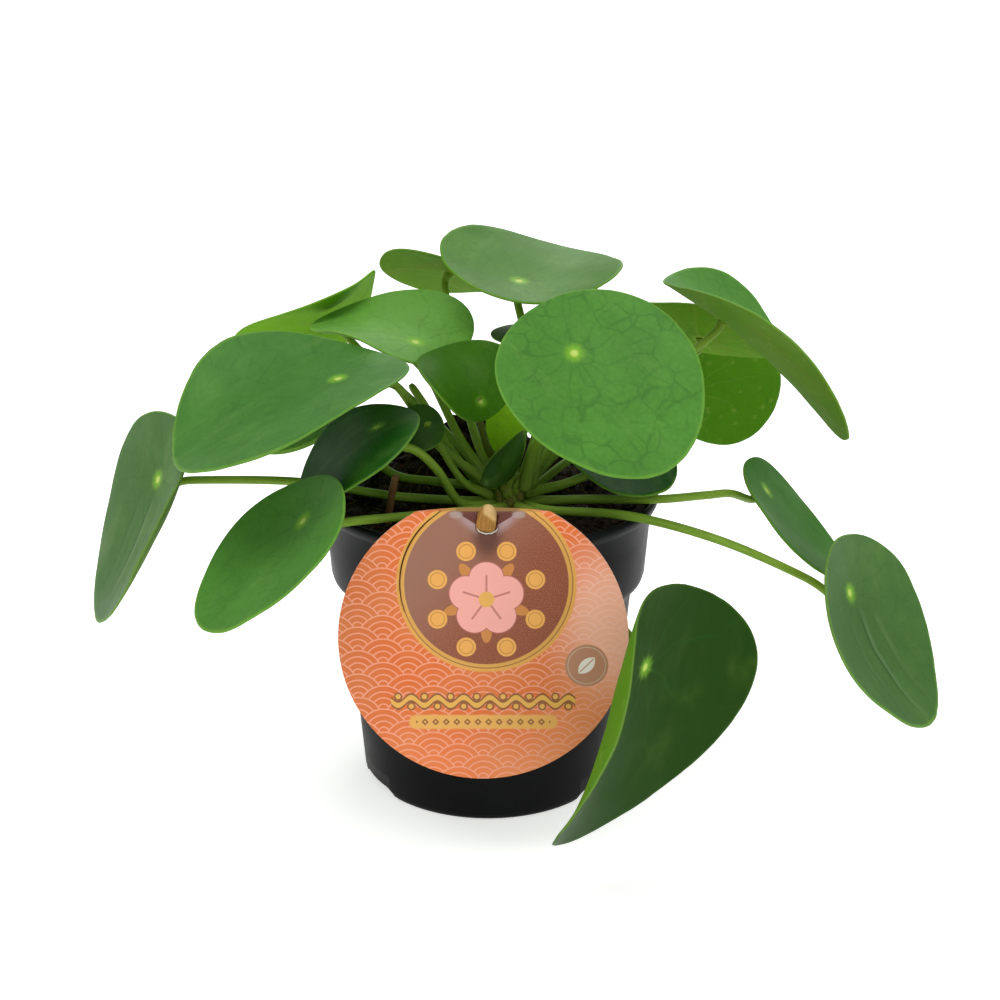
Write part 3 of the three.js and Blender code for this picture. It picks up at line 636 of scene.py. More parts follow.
def spaced_curve(points, count):
    """count + 1 evenly spaced points on the uniform Catmull-Rom curve through the points."""
    knots = [Vector(p) for p in points]
    knots = [2 * knots[0] - knots[1]] + knots + [2 * knots[-1] - knots[-2]]
    dense = []
    substeps = 60
    for i in range(1, len(knots) - 2):
        p0, p1, p2, p3 = knots[i - 1:i + 3]
        for j in range(substeps + (i == len(knots) - 3)):
            t = j / substeps
            m1, m2 = 0.5 * (p2 - p0), 0.5 * (p3 - p1)
            dense.append(p1 + m1 * t + (-3 * p1 + 3 * p2 - 2 * m1 - m2) * t ** 2
                         + (2 * p1 - 2 * p2 + m1 + m2) * t ** 3)
    lengths = [0.0]
    for a, b in zip(dense, dense[1:]):
        lengths.append(lengths[-1] + (b - a).length)
    spaced, k = [], 0
    for i in range(count + 1):
        want = lengths[-1] * i / count
        while k < len(dense) - 2 and lengths[k + 1] < want:
            k += 1
        share = (want - lengths[k]) / max(1e-9, lengths[k + 1] - lengths[k])
        spaced.append(dense[k].lerp(dense[k + 1], min(1.0, share)))
    return spaced, lengths[-1]


def tube_mesh(path, radii, sides, first=0):
    """Points, faces and (along, around) of a closed round tube along the path."""
    points, marks = [], []
    normal = (path[1] - path[0]).orthogonal().normalized()
    for i, centre in enumerate(path):
        ahead = path[min(i + 1, len(path) - 1)] - path[max(i - 1, 0)]
        ahead.normalize()
        normal = (normal - ahead * normal.dot(ahead)).normalized()
        aside = ahead.cross(normal)
        for angle in turns(sides):
            points.append(centre + radii[i] * (math.cos(angle) * normal + math.sin(angle) * aside))
            marks.append((i / (len(path) - 1), math.sin(angle) * 0.5 + 0.5, 0.0))
    return points, walls(len(path), sides, first) + caps(len(path), sides, first), marks


def lathe_mesh(profile, sides, centre=(0.0, 0.0), wobble=None):
    """Points and faces of a turned body whose profile starts and ends on its axis."""
    points, faces = [], []
    inner = profile[1:-1]
    for radius, height in inner:
        for angle in turns(sides):
            far = radius * (wobble(angle, height) if wobble else 1.0)
            points.append((centre[0] + far * math.cos(angle), centre[1] + far * math.sin(angle), height))
    low, high = len(points), len(points) + 1
    points.append((centre[0], centre[1], profile[0][1]))
    points.append((centre[0], centre[1], profile[-1][1]))
    last = (len(inner) - 1) * sides
    for j in range(sides):
        k = (j + 1) % sides
        faces.append((low, k, j))
        faces.append((high, last + j, last + k))
        for i in range(len(inner) - 1):
            a = i * sides
            faces.append((a + j, a + k, a + sides + k, a + sides + j))
    return points, faces


def apply_modifiers(piece):
    graph = bpy.context.evaluated_depsgraph_get()
    made = bpy.data.meshes.new_from_object(piece.evaluated_get(graph))
    piece.modifiers.clear()
    piece.data = made


def mark(piece, key, value_of):
    """Writes a vector at each vertex, from the vertex's place in millimetres."""
    layer = piece.data.attributes.get(key) or piece.data.attributes.new(key, "FLOAT_VECTOR", "POINT")
    layer.data.foreach_set("vector", [c for v in piece.data.vertices for c in value_of(v.co / MM)])


def cut(piece, cutter_points, cutter_faces):
    """Cuts a closed solid, in millimetres, out of the piece."""
    mesh = bpy.data.meshes.new("cutter")
    mesh.from_pydata([Vector(p) * MM for p in cutter_points], [], cutter_faces)
    mesh.update()
    cutter = bpy.data.objects.new("cutter", mesh)
    bpy.context.scene.collection.objects.link(cutter)
    modifier = piece.modifiers.new("cut", "BOOLEAN")
    modifier.operation = "DIFFERENCE"
    modifier.solver = "EXACT"
    modifier.object = cutter
    bpy.context.view_layer.update()
    apply_modifiers(piece)
    bpy.data.objects.remove(cutter)
    # The cut can leave slivers without width and pairs of faces back to back, which are taken away.
    cleaned = bmesh.new()
    cleaned.from_mesh(piece.data)
    bmesh.ops.remove_doubles(cleaned, verts=cleaned.verts, dist=MERGE)
    bmesh.ops.dissolve_degenerate(cleaned, edges=cleaned.edges, dist=MERGE)
    bmesh.ops.triangulate(cleaned, faces=[face for face in cleaned.faces if len(face.verts) > 4])
    alike = {}
    for face in cleaned.faces:
        alike.setdefault(frozenset(vertex.index for vertex in face.verts), []).append(face)
    doubled = [face for faces in alike.values() if len(faces) > 1 for face in faces]
    bmesh.ops.delete(cleaned, geom=doubled, context="FACES")
    cleaned.to_mesh(piece.data)
    cleaned.free()


# ---------------------------------------------------------------- camera, floor and light

camera = bpy.data.objects.new("camera", bpy.data.cameras.new("camera"))
bpy.context.scene.collection.objects.link(camera)
camera.location = (0.0, -0.510, 0.273)
camera.rotation_euler = (math.radians(72.2), 0.0, 0.0)
camera.data.sensor_width = 36.0
camera.data.lens = 54.54
camera.data.shift_x = 0.012
camera.data.shift_y = -0.019
camera.data.clip_start = 0.01
camera.data.clip_end = 2000
bpy.context.scene.camera = camera

FLOOR = 500.0
floor_mesh = bpy.data.meshes.new("floor")
corners = [(-FLOOR, -FLOOR, 0), (FLOOR, -FLOOR, 0), (FLOOR, FLOOR, 0), (-FLOOR, FLOOR, 0)]
floor_mesh.from_pydata(corners, [], [(0, 1, 2, 3)])
floor = bpy.data.objects.new("floor", floor_mesh)
bpy.context.scene.collection.objects.link(floor)
floor_graph = Graph("floor_paint", 0.0, {"Emission Color": (1, 1, 1, 1), "Emission Strength": 0.6})
floor_tone = floor_graph.noise(floor_graph.node("TexCoord").outputs["Object"], 0.5)
floor_graph.colour = floor_graph.mix(floor_tone, "#f3f3f2", "#f7f7f6")
floor_mesh.materials.append(floor_graph.finish(0.9))

world = bpy.data.worlds.new("studio")
bpy.context.scene.world = world
world.use_nodes = True
world.node_tree.nodes["Background"].inputs["Color"].default_value = (1, 1, 1, 1)
world.node_tree.nodes["Background"].inputs["Strength"].default_value = 0.5
bpy.context.scene.view_settings.view_transform = "Standard"


def add_light(name, location, target, size, power):
    data = bpy.data.lights.new(name, "AREA")
    data.shape = "SQUARE"
    data.size = size
    data.energy = power
    light = bpy.data.objects.new(name, data)
    light.location = location
    light.rotation_mode = "QUATERNION"
    light.rotation_quaternion = (Vector(target) - Vector(location)).to_track_quat("-Z", "Y")
    bpy.context.scene.collection.objects.link(light)


add_light("key", (-0.5, -0.4, 1.5), (0, 0, 0.12), 1.0, 11)
add_light("fill", (0.9, -0.9, 0.8), (0, 0, 0.1), 0.9, 4)
add_light("back", (0.3, 1.2, 1.0), (0, 0, 0.15), 0.9, 6)

# ---------------------------------------------------------------- pot

POT_PROFILE = [
    (0, 0), (42.5, 0), (44.6, 0.4), (45.5, 1.4), (45.8, 3), (51.3, 69.5), (51.6, 71.5), (52.4, 73.2),
    (54.0, 75.2), (55.4, 76.8), (56.0, 79), (57.6, 101.4), (57.9, 102.0), (59.2, 103.2), (59.8, 104.4),
    (60.0, 105.4), (59.9, 106.3), (59.4, 106.9), (58.7, 107), (58.2, 106.6), (58.0, 105.9), (57.2, 104),
    (56.5, 101.6), (54.9, 79.3), (53.6, 76.6), (50.6, 73.3), (50.1, 69.5), (44.7, 4.5), (43.4, 2), (0, 2),
]


def pot_points():
    """The profile, with added points on its long straight runs."""
    dense = []
    for (ra, ha), (rb, hb) in zip(POT_PROFILE, POT_PROFILE[1:]):
        steps = max(1, int(math.hypot(rb - ra, hb - ha) / 6))
        dense += [(ra + (rb - ra) * i / steps, ha + (hb - ha) * i / steps) for i in range(steps)]
    return dense + [POT_PROFILE[-1]]


def cut_prism(piece, low, high):
    """Cuts out the solid between two outlines of as many points."""
    cut(piece, low + high, walls(2, len(low)) + caps(2, len(low)))


RECESS = dict(count=3, first=208.5, low=13.0, high=9.0, height=3.6, corner=2.5, inner=37, depth=14, steps=6)
HOLES = dict(count=6, ring=28, radius=3.5, corners=24, bottom=-2.0, top=4.0)


def add_pot():
    """The turned shell, with three arched recesses in its base edge and drain holes in its floor."""
    points, faces = lathe_mesh(pot_points(), 160)
    pot = make_piece("pot_shell", points, faces, [pot_material()], ["pot"])
    low, high, height, corner = (RECESS[key] for key in ("low", "high", "height", "corner"))
    rounded = []
    for k in range(RECESS["steps"] + 1):
        t = k / RECESS["steps"]
        rounded.append(((1 - t) ** 2 * (low + high) / 2 + 2 * t * (1 - t) * high + t * t * (high - corner),
                        (1 - t) ** 2 * height / 2 + (2 * t - t * t) * height))
    arch = [(-low, -1.0), (low, -1.0), (low, 0.0)] + rounded
    arch += [(-a, b) for a, b in reversed(rounded)] + [(-low, 0.0)]
    for i in range(RECESS["count"]):
        angle = math.radians(RECESS["first"] + 120 * i)
        radial = Vector((math.cos(angle), math.sin(angle), 0))
        along = Vector((-math.sin(angle), math.cos(angle), 0))
        near = [radial * RECESS["inner"] + along * a + Vector((0, 0, z)) for a, z in arch]
        cut_prism(pot, near, [p + radial * RECESS["depth"] for p in near])
    far, radius = HOLES["ring"], HOLES["radius"]
    for angle in turns(HOLES["count"]):
        x, y = far * math.cos(angle), far * math.sin(angle)
        ring = [(x + radius * math.cos(a), y + radius * math.sin(a)) for a in turns(HOLES["corners"])]
        cut_prism(pot, *([(a, b, level) for a, b in ring] for level in (HOLES["bottom"], HOLES["top"])))
    mark(pot, "pot", lambda p: p)


add_pot()

# ---------------------------------------------------------------- soil

SOIL_LEVEL = -6.8
MOUND = dict(x=-6, y=36, height=24, spread=20)
COLLAR_RADIUS = 57.6
BED_RADIUS = 55.6
BED_SIDE = [(55.6, -11.0), (54.3, -27.8), (50.0, -34), (49.6, -38), (44.2, -102), (43.0, -104.6)]


def soil_top(x, y):
    """The soil's height above the rim plane: level, with the root ball's mound towards the back."""
    away = (x - MOUND["x"]) ** 2 + (y - MOUND["y"]) ** 2
    hill = MOUND["height"] * math.exp(-away / (2 * MOUND["spread"] ** 2))
    fall = 1 - min(1, math.hypot(x, y) / COLLAR_RADIUS) ** 6
    lumps = 0.7 * math.sin(0.3 * x + 1.3) * math.cos(0.27 * y - 0.6) + 0.4 * math.sin(0.6 * x + 0.27 * y)
    return SOIL_LEVEL + hill * fall + lumps


def crumbled_top(x, y):
    """The soil's top with crumbs and pits."""
    here = Vector((x, y, 0.0))
    crumbs = 1.3 * noise.noise(here * 0.16) + 1.1 * noise.noise(here * 0.45) + 0.5 * noise.noise(here * 1.1)
    pits = -1.2 * max(0.0, noise.noise(here * 0.3 + Vector((9, 4, 2))) - 0.2)
    return soil_top(x, y) + crumbs + pits - 0.3


def add_soil():
    """The bed: a rough top in rings round its middle, and a side that follows the pot's wall."""
    rings, sides = 84, 260
    points = []
    for i in range(1, rings + 1):
        radius = BED_RADIUS * i / rings
        for angle in turns(sides):
            x, y = radius * math.cos(angle), radius * math.sin(angle)
            points.append((x, y, RIM + crumbled_top(x, y)))
    for radius, height in BED_SIDE:
        for angle in turns(sides):
            points.append((radius * math.cos(angle), radius * math.sin(angle), RIM + height))
    count = rings + len(BED_SIDE)
    faces = walls(count, sides, inward=True)
    top, low = len(points), len(points) + 1
    points += [(0, 0, RIM + crumbled_top(0, 0)), (0, 0, RIM + BED_SIDE[-1][1])]
    last = (count - 1) * sides
    for j in range(sides):
        faces += [(top, j, (j + 1) % sides), (low, last + (j + 1) % sides, last + j)]
    peat = soil_material("soil_peat", "#15100b", "#33261b", "#77675a", 0.4)
    make_piece("soil_bed", points, faces, [peat], ["soil"], {"grain": points})


def icosphere():
    """A sphere of 42 points and 80 triangles, of radius 1."""
    made = bmesh.new()
    bmesh.ops.create_icosphere(made, subdivisions=2, radius=1.0)
    points = [v.co.copy() for v in made.verts]
    faces = [tuple(v.index for v in f.verts) for f in made.faces]
    made.free()
    return points, faces


BALL_POINTS, BALL_FACES = icosphere()
CRUMB_REACH, STEM_CLEAR = 53, 7.5


def scatter_crumbs(name, count, smallest, largest, material, flat=0.75, centre=None, spread=None):
    """Rough grains of soil, bark or perlite lying on the bed, as one piece."""
    points, faces, grains = [], [], []
    rough, sink = 0.35, 0.2
    for _ in range(count):
        while True:
            x, y = draw(-54, 54), draw(-54, 54)
            if centre:
                x, y = random.gauss(centre[0], spread), random.gauss(centre[1], spread)
            if math.hypot(x, y) < CRUMB_REACH and math.hypot(x - STEM["x"], y - STEM["y"]) > STEM_CLEAR:
                break
        radius = smallest + (largest - smallest) * random.random() ** 2.5
        stretch = Vector((draw(0.7, 1.3), draw(0.7, 1.3), flat * draw(0.7, 1.2)))
        turn = Matrix.Rotation(draw(0, 6.28), 3, "Z") @ Matrix.Rotation(draw(-0.5, 0.5), 3, "X")
        lift = Vector((x, y, RIM + crumbled_top(x, y) + radius * flat * (1 - 2 * sink)))
        offset = Vector((draw(0, 90), draw(0, 90), draw(0, 90)))
        start = len(points)
        for p in BALL_POINTS:
            bulge = 1 + rough * noise.noise(p * 1.7 + offset)
            shaped = turn @ Vector((p.x * stretch.x, p.y * stretch.y, p.z * stretch.z)) * radius * bulge
            points.append(lift + shaped)
            grains.append(shaped + offset)
        faces += [tuple(start + i for i in face) for face in BALL_FACES]
    return make_piece(name, points, faces, [material], [], {"grain": grains}, smooth=False)


def scatter_fibres(name, count, material):
    """Curled root fibres and straw on the bed."""
    points, faces, grains = [], [], []
    for _ in range(count):
        while True:
            x, y = draw(-50, 50), draw(-50, 50)
            if math.hypot(x, y) < 46:
                break
        heading = draw(0, 6.28)
        length = draw(5, 16)
        thick = draw(0.12, 0.3)
        path, bend = [], draw(-0.25, 0.25)
        for i in range(9):
            rise = 0.5 + 1.6 * math.sin(math.pi * i / 8) * draw(0.4, 1.0)
            path.append(Vector((x, y, RIM + crumbled_top(x, y) + rise)))
            heading += bend + draw(-0.15, 0.15)
            x, y = x + math.cos(heading) * length / 8, y + math.sin(heading) * length / 8
            if math.hypot(x, y) > 54:
                x, y = x * 0.97, y * 0.97
        radii = [thick * (0.4 + 0.6 * math.sin(math.pi * (i + 0.6) / 9.2)) for i in range(9)]
        made, made_faces, _ = tube_mesh(path, radii, 5, len(points))
        points += made
        faces += made_faces
        grains += made
    return make_piece(name, points, faces, [material], [], {"grain": grains})


add_soil()
peat_lump = soil_material("soil_lump", "#120d09", "#3a2a1e", "#6c5a4a", 0.4, 0.8)
bark_chip = soil_material("soil_bark", "#2a170c", "#5a3a24", "#8a6a4c", 0.4, 0.7)
perlite = soil_material("soil_perlite", "#8f8a80", "#d9d5cb", "#ffffff", 0.5, 0.8)
fibre = soil_material("soil_fibre", "#3a2817", "#70512f", "#a98a5c", 0.4, 0.6)
scatter_crumbs("soil_lumps", 420, 0.7, 3.0, peat_lump)
scatter_crumbs("soil_mound_lumps", 200, 0.6, 2.4, peat_lump, centre=(-6, 34), spread=13)
scatter_crumbs("soil_bark_chips", 110, 0.5, 2.0, bark_chip, flat=0.45)
scatter_crumbs("soil_perlite", 90, 0.25, 0.9, perlite)
scatter_fibres("soil_fibres", 90, fibre)

# ---------------------------------------------------------------- leaves


def stem_radius(height):
    share = min(1, max(0, (height - STEM["shoulder"]) / (STEM["top"] - STEM["shoulder"])))
    return STEM["radius"] * math.sqrt(1 - share ** 2)


def stalk_start(root, ahead):
    angle, height = root
    outward = Vector((math.cos(math.radians(angle)), math.sin(math.radians(angle)), 0))
    start = Vector((STEM["x"], STEM["y"], height)) + outward * (stem_radius(height) + FIT_GAP)
    climb = (ahead - start).normalized().z
    return start + outward * (1.7 * climb)


def rise(form, a, b):
    """The blade's height above its flat plane, at shares of half its length and width."""
    arch, fold, twist, lift, skew = form
    return -arch * a * a - fold * b * b + twist * a * b + lift * a ** 3 + skew * b ** 3


def blade_point(leaf, u, v, offset, ripple=0.0):
    """A point of the blade at an offset along its normal from its middle surface."""
    length, width, _ = leaf["size"]
    form, step = leaf["form"], 0.01
    a, b, da, db = u / (length / 2), v / (width / 2), step / (length / 2), step / (width / 2)
    slope_u = (rise(form, a + da, b) - rise(form, a - da, b)) / (2 * step)
    slope_v = (rise(form, a, b + db) - rise(form, a, b - db)) / (2 * step)
    normal = Vector((-slope_u, -slope_v, 1)).normalized()
    return Vector((u, v, rise(form, a, b))) + normal * (offset + ripple)


def leaf_frame(leaf):
    heading, droop, roll = (math.radians(a) for a in leaf["turn"])
    turn = Matrix.Rotation(heading, 4, "Z") @ Matrix.Rotation(droop, 4, "Y") @ Matrix.Rotation(roll, 4, "X")
    return Matrix.Translation(leaf["spot"]) @ turn


OUTLINE = dict(share=0.9985, wave=0.006)
INSET = 0.15  # how far the blades stay inside the CAD box
LIMITS = [[c / MM + margin for c in corner] for corner, margin in zip(cad_box, (INSET, -INSET))]
INNER = 0.955  # the share of the blade where its margin begins to round off
OVER = [(INNER, 1.0), (0.985, 0.96), (0.996, 0.62)]
RIM_STEPS = OVER + [(1.0, 0.0)] + [(share, -level) for share, level in reversed(OVER)]


def add_blade(name, leaf, number, materials):
    """The blade as a closed sheet: upper face, rounded margin, lower face."""
    length, width, rear = leaf["size"]
    egg = leaf.get("egg", -0.1)
    spokes, rings = (112, 17) if length > 40 else (56, 10)
    shares = [(INNER * (i + 1) / rings, 1.0) for i in range(rings - 1)]
    levels = shares + RIM_STEPS + [(k, -1.0) for k, _ in reversed(shares)]
    place, shift = leaf_frame(leaf), Vector((number * 3.7, number * 1.9, 0.0))
    half = BLADE_THICKNESS / 2
    size, spread = min(1.0, length / 60), max(1.0, 55 / length)
    points, marks = [], []

    def put(u, v, share, angle, level):
        swell = 0.35 * size * noise.noise(Vector((u, v, 0)) * 0.07 + shift) * min(1.0, share * 2)
        swell += 0.3 * size * math.sin(4 * angle + number) * max(0.0, share - 0.7) / 0.3
        dimple = -0.3 * math.exp(-(u * u + v * v) / 3.0) if level > 0 else 0.0
        point = place @ blade_point(leaf, u, v, level * half, swell + dimple) + UP
        points.append(Vector(min(max(c, low), high) for c, low, high in zip(point, *LIMITS)))
        marks.append((u * spread, v * spread, share))

    put(0.0, 0.0, 0.0, 0.0, 1.0)
    for share, level in levels:
        for angle in turns(spokes):
            u = length * (0.5 - rear) + length / 2 * math.cos(angle)
            v = width / 2 * math.sin(angle) * (1 + egg * math.cos(angle))
            ragged = noise.noise(Vector((u, v, 0)) * 0.09 + shift)
            ragged += 0.6 * noise.noise(Vector((v, u, 5)) * 0.3)
            trim = share * (OUTLINE["share"] - OUTLINE["wave"] * share * (1 + ragged))
            put(u * trim, v * trim, share, angle, level)
    put(0.0, 0.0, 0.0, 0.0, -1.0)
    last = 1 + (len(levels) - 1) * spokes
    faces = [(0, 1 + j, 1 + (j + 1) % spokes) for j in range(spokes)]
    faces += walls(len(levels), spokes, 1, inward=True)
    faces += [(len(points) - 1, last + (j + 1) % spokes, last + j) for j in range(spokes)]
    slots = [0] * spokes + [int(level < 0) for _, level in levels[1:] for _ in range(spokes)] + [1] * spokes
    seed = [(number * 7.3, number * 3.1, number * 1.7)] * len(points)
    above, below = (ink(GREENS[leaf.get(key, leaf["green"])])[:3] for key in ("green", "below"))
    tone = [above if level >= 0 else below for _, level in levels for _ in range(spokes)]
    tone = [above] + tone + [below]
    attributes = {"blade": marks, "seed": seed, "tone": tone}
    make_piece(name + "_blade", points, faces, materials, [name], attributes, slots)


def stalk_piece(name, path, length, radii, material, nodes, number):
    points, faces, marks = tube_mesh(path, radii, 14)
    marks = [(a, b, a * length) for a, b, _ in marks]
    seed = [(number * 5.3, number * 2.3, number * 1.1)] * len(points)
    make_piece(name, points, faces, [material], nodes, {"stalk": marks, "seed": seed, "grain": points})


def add_stalk(name, leaf, number, material):
    """The stalk from the main stem to the blade, thicker at its foot and flared under the blade."""
    place = leaf_frame(leaf)
    length = leaf["size"][0]
    under = Vector((0, 0, -min(6, length / 8)))
    via = [Vector(p) for p in leaf["via"]]
    ahead = via[0] if via else place @ under
    knots = [stalk_start(leaf["root"], ahead)] + via + [place @ under, place @ Vector((0, 0, -0.05))]
    steps = 60 if length > 40 else 26
    path, reach = spaced_curve(knots, steps)
    foot = path[0] - (path[1] - path[0]).normalized() * FOOT_SUNK
    path = [p + UP for p in [foot] + path]
    thin = 1.0 if length > 40 else 0.8
    radii = []
    for i in range(len(path)):
        along = i / (len(path) - 1)
        radius = STALK_RADIUS * thin * (1.0 - 0.14 * along)
        radius += 0.7 * math.exp(-reach * along / 6.0)
        radius += 0.5 * math.exp(-reach * (1 - along) / 1.6)
        radii.append(radius)
    stalk_piece(name + "_stalk", path, reach, radii, material, [name], number)


top = leaf_top_material("leaf_upper")
top_veined = leaf_top_material("leaf_upper_veined", veins=0.6)
top_young = leaf_top_material("leaf_upper_young", through=0.4)
top_glossy = leaf_top_material("leaf_upper_glossy", through=0.06, gloss=0.22, spot=0.5)
top_plain = leaf_top_material("leaf_upper_plain", spot=0.12)
top_creased = leaf_top_material("leaf_upper_creased", veins=0.2, crease=0.45)
top_deep = leaf_top_material("leaf_upper_deep", through=0.06, gloss=0.05, spot=0.8, rim=0.08, streaky=0.03)
under = leaf_under_material("leaf_lower")
under_rosy = leaf_under_material("leaf_lower_rosy", blush=0.26, pale=0.28)
under_deep = leaf_under_material("leaf_lower_deep", through=0.4, pale=0.1)
# stalk_green is paler than a stalk's own green, most at its foot: partly the foot's own yellower colour,
# partly painted light for the stalks in the shade of the leaves.
stalk_green = stalk_material("stalk_green", "#9abc48", "#8eb43c", "#88aa34", "#648824")
stalk_olive = stalk_material("stalk_olive", "#485a1a", "#5c7022", "#6c862a", "#5c5026")
stalk_straw = stalk_material("stalk_straw", "#4e3420", "#7e5838", "#9a7048", "#46301c")
FACES = {
    "leaf_front_large": (top_veined, under),
    "leaf_front_hanging": (top_deep, under),
    "leaf_left_inner": (top_glossy, under),
    "leaf_left_small": (top_plain, under),
    "leaf_young_dark": (top_plain, under),
    "leaf_far_left": (top_creased, under),
    "leaf_far_right": (top_creased, under),
    "leaf_centre_upright": (top_young, under),
    "leaf_front_hidden": (top_young, under),
    "leaf_young_bright": (top_young, under_deep),
    "leaf_back_right_low": (top, under_deep),
    "leaf_back_small": (top, under_rosy),
    "leaf_back_right_high": (top, under_rosy),
    "leaf_right_cupped": (top, under_rosy),
}

for number, (name, leaf) in enumerate(LEAVES.items(), 1):
    add_blade(name, leaf, number, FACES.get(name, (top, under)))
    add_stalk(name, leaf, number, stalk_olive if name == "leaf_centre_upright" else stalk_green)


def add_bare_stalks():
    via = [Vector(p) for p in LEAFLESS_STALK["via"]]
    path, reach = spaced_curve([stalk_start(LEAFLESS_STALK["root"], via[0])] + via, 40)
    path = [path[0] - (path[1] - path[0])] + path
    path = [p + UP for p in path]
    radii = [1.55 - 0.2 * i / len(path) for i in range(len(path))]
    radii[-1], radii[-2] = 0.8, 1.25
    stalk_piece("stalk_leafless_fine", path, reach, radii, stalk_green, ["stalk_leafless"], 31)
    path, reach = spaced_curve(DRY_STALK, 30)
    path = [p + Vector((0.25 * noise.noise(p * 0.3), 0.25 * noise.noise(p * 0.4), RIM)) for p in path]
    radii = [1.35 + 0.25 * noise.noise(p * 0.5) for p in path]
    radii[-1] = 0.7
    stalk_piece("stalk_dry_fine", path, reach, radii, stalk_straw, ["stalk_dry"], 32)


add_bare_stalks()


def add_stem():
    """The short main stem, ringed by the scars of old leaves."""
    profile = [(0, STEM["bottom"] + RIM)]
    scars = 26
    for i in range(scars + 1):
        height = STEM["bottom"] + (STEM["shoulder"] - STEM["bottom"]) * i / scars
        profile.append((STEM["radius"] - 0.25 - 0.25 * math.cos(i * 2.1), height + RIM))
    for share in (0.25, 0.5, 0.7, 0.85, 0.95):
        height = STEM["shoulder"] + (STEM["top"] - STEM["shoulder"]) * share
        profile.append((stem_radius(height) - 0.2, height + RIM))
    profile.append((0, STEM["top"] + RIM - 0.2))
    points, faces = lathe_mesh(profile, 40, (STEM["x"], STEM["y"]),
                               lambda a, h: 1 + 0.04 * math.sin(3 * a + h) + 0.02 * math.sin(7 * a - h))
    bark = stem_material("stem_bark", "#647c24", "#8ca438", "#8c7c3a")
    make_piece("main_stem_bark", points, faces, [bark], ["main_stem"], {"grain": points})


def scale_mesh(foot, outward, length, width, first):
    """A pointed scale that rises from its foot and leans outwards, as a thin closed sheet."""
    points, faces, steps = [], [], 7
    aside = Vector((-outward.y, outward.x, 0))
    for face in (1, -1):
        for i in range(steps + 1):
            along = i / steps
            half = width / 2 * math.sin(math.pi * (0.22 + 0.78 * along)) ** 0.8 + 0.02
            for across in (-1, -0.5, 0, 0.5, 1):
                bulge = 0.35 * width * (1 - across * across) * (1 - along)
                lean = outward * (bulge + length * 0.28 * along ** 2 + face * 0.14)
                points.append(foot + lean + aside * (half * across) + Vector((0, 0, length * along)))
    rows, back = 5, (steps + 1) * 5
    for i in range(steps):
        for j in range(4):
            a = i * rows + j
            faces.append((a, a + 1, a + rows + 1, a + rows))
            faces.append((back + a, back + a + rows, back + a + rows + 1, back + a + 1))
        for j in (0, 4):
            a = i * rows + j
            ring = (a, a + rows, back + a + rows, back + a)
            faces.append(ring if j == 0 else tuple(reversed(ring)))
    for j in range(4):
        faces.append((j + 1, j, back + j, back + j + 1))
        a = steps * rows + j
        faces.append((a, a + 1, back + a + 1, back + a))
    return points, [tuple(first + i for i in face) for face in faces]


def add_scales():
    """Small pointed scales between the stalks' feet, green on the crown and dry lower down."""
    for name, count, low, high, long, colours in (
            ("crown_scales", 16, 0.5, 6.5, 9.0, ("#74922c", "#9ab63e", "#a09a44")),
            ("dry_scales", 10, -4.5, 0.0, 6.0, ("#6e6e2c", "#94903e", "#a89a58"))):
        points, faces = [], []
        for i in range(count):
            angle = 2.4 * i + draw(-0.3, 0.3)
            height = draw(low, high)
            outward = Vector((math.cos(angle), math.sin(angle), 0))
            foot = Vector((STEM["x"], STEM["y"], RIM + height))
            foot += outward * max(1.2, stem_radius(height) - 0.4)
            made, made_faces = scale_mesh(foot, outward, long * draw(0.6, 1.1),
                                          draw(2.4, 4.2), len(points))
            points += made
            faces += made_faces
        skin = stem_material(name, *colours)
        make_piece(name, points, faces, [skin], [], {"grain": points})


add_stem()
add_scales()

# ---------------------------------------------------------------- stake

STAKE = dict(width=6.2, thickness=3.6, bevel=0.7, tip=6.0, length=58, forward=31, aside=7)
STAKE_TIP = (0.2, -63.2, 13.8)


def stake_frame():
    turn = Matrix.Rotation(math.radians(STAKE["aside"]), 4, "Y")
    turn = turn @ Matrix.Rotation(math.radians(90 + STAKE["forward"]), 4, "X")
    return Matrix.Translation(Vector(STAKE_TIP) + UP) @ turn


def stake_sections(clearance):
    """Rounded outlines of the stake, one per layer of its thickness."""
    layers = []
    bevel = STAKE["bevel"]
    for turn in (0, 22, 45, 67, 90, 113, 135, 158, 180):
        angle = math.radians(turn)
        depth = -math.cos(angle) * bevel + math.copysign(STAKE["thickness"] / 2 - bevel, turn - 90)
        if turn == 90:
            depth = 0.0
        half = STAKE["width"] / 2 - bevel + bevel * math.sin(angle) + clearance
        layers.append((half, depth * (1 + clearance / (STAKE["thickness"] / 2))))
    return layers


def stake_mesh(clearance, steps=20, runs=12):
    """The stake with a rounded tip; clearance makes the slot that it stands in."""
    points = []
    long, tip = STAKE["length"], STAKE["tip"]
    layers = stake_sections(clearance)
    for half, depth in layers:
        ring = []
        for k in range(runs):
            ring.append((half, -long + (long - tip) * k / runs))
        for k in range(steps + 1):
            angle = math.pi * k / steps
            high = tip - (STAKE["width"] / 2 - half) + clearance * 0.2
            ring.append((half * math.cos(angle), -tip + high * math.sin(angle)))
        for k in range(runs):
            ring.append((-half, -tip - (long - tip) * (k + 1) / runs))
        points += [(a, b, depth) for a, b in ring]
    faces = walls(len(layers), len(ring)) + caps(len(layers), len(ring))
    place = stake_frame()
    return [place @ Vector(p) for p in points], faces, points


def add_stake():
    points, faces, marks = stake_mesh(0.0)
    make_piece("label_stake_wood", points, faces, [wood_material()], ["label_stake"],
               {"stake": marks})


add_stake()

# ---------------------------------------------------------------- card label

CARD = dict(radius=46.3, thickness=0.6, lean=9, fold=41.0, angle=86, bend=0.9)
CARD_CENTRE = (-1.5, -65.4, -29.6)
SLOT = (1.3, 36.3)
SLIT = dict(radius=27.5, width=0.4, start=108, end=200, low=-2, high=3)


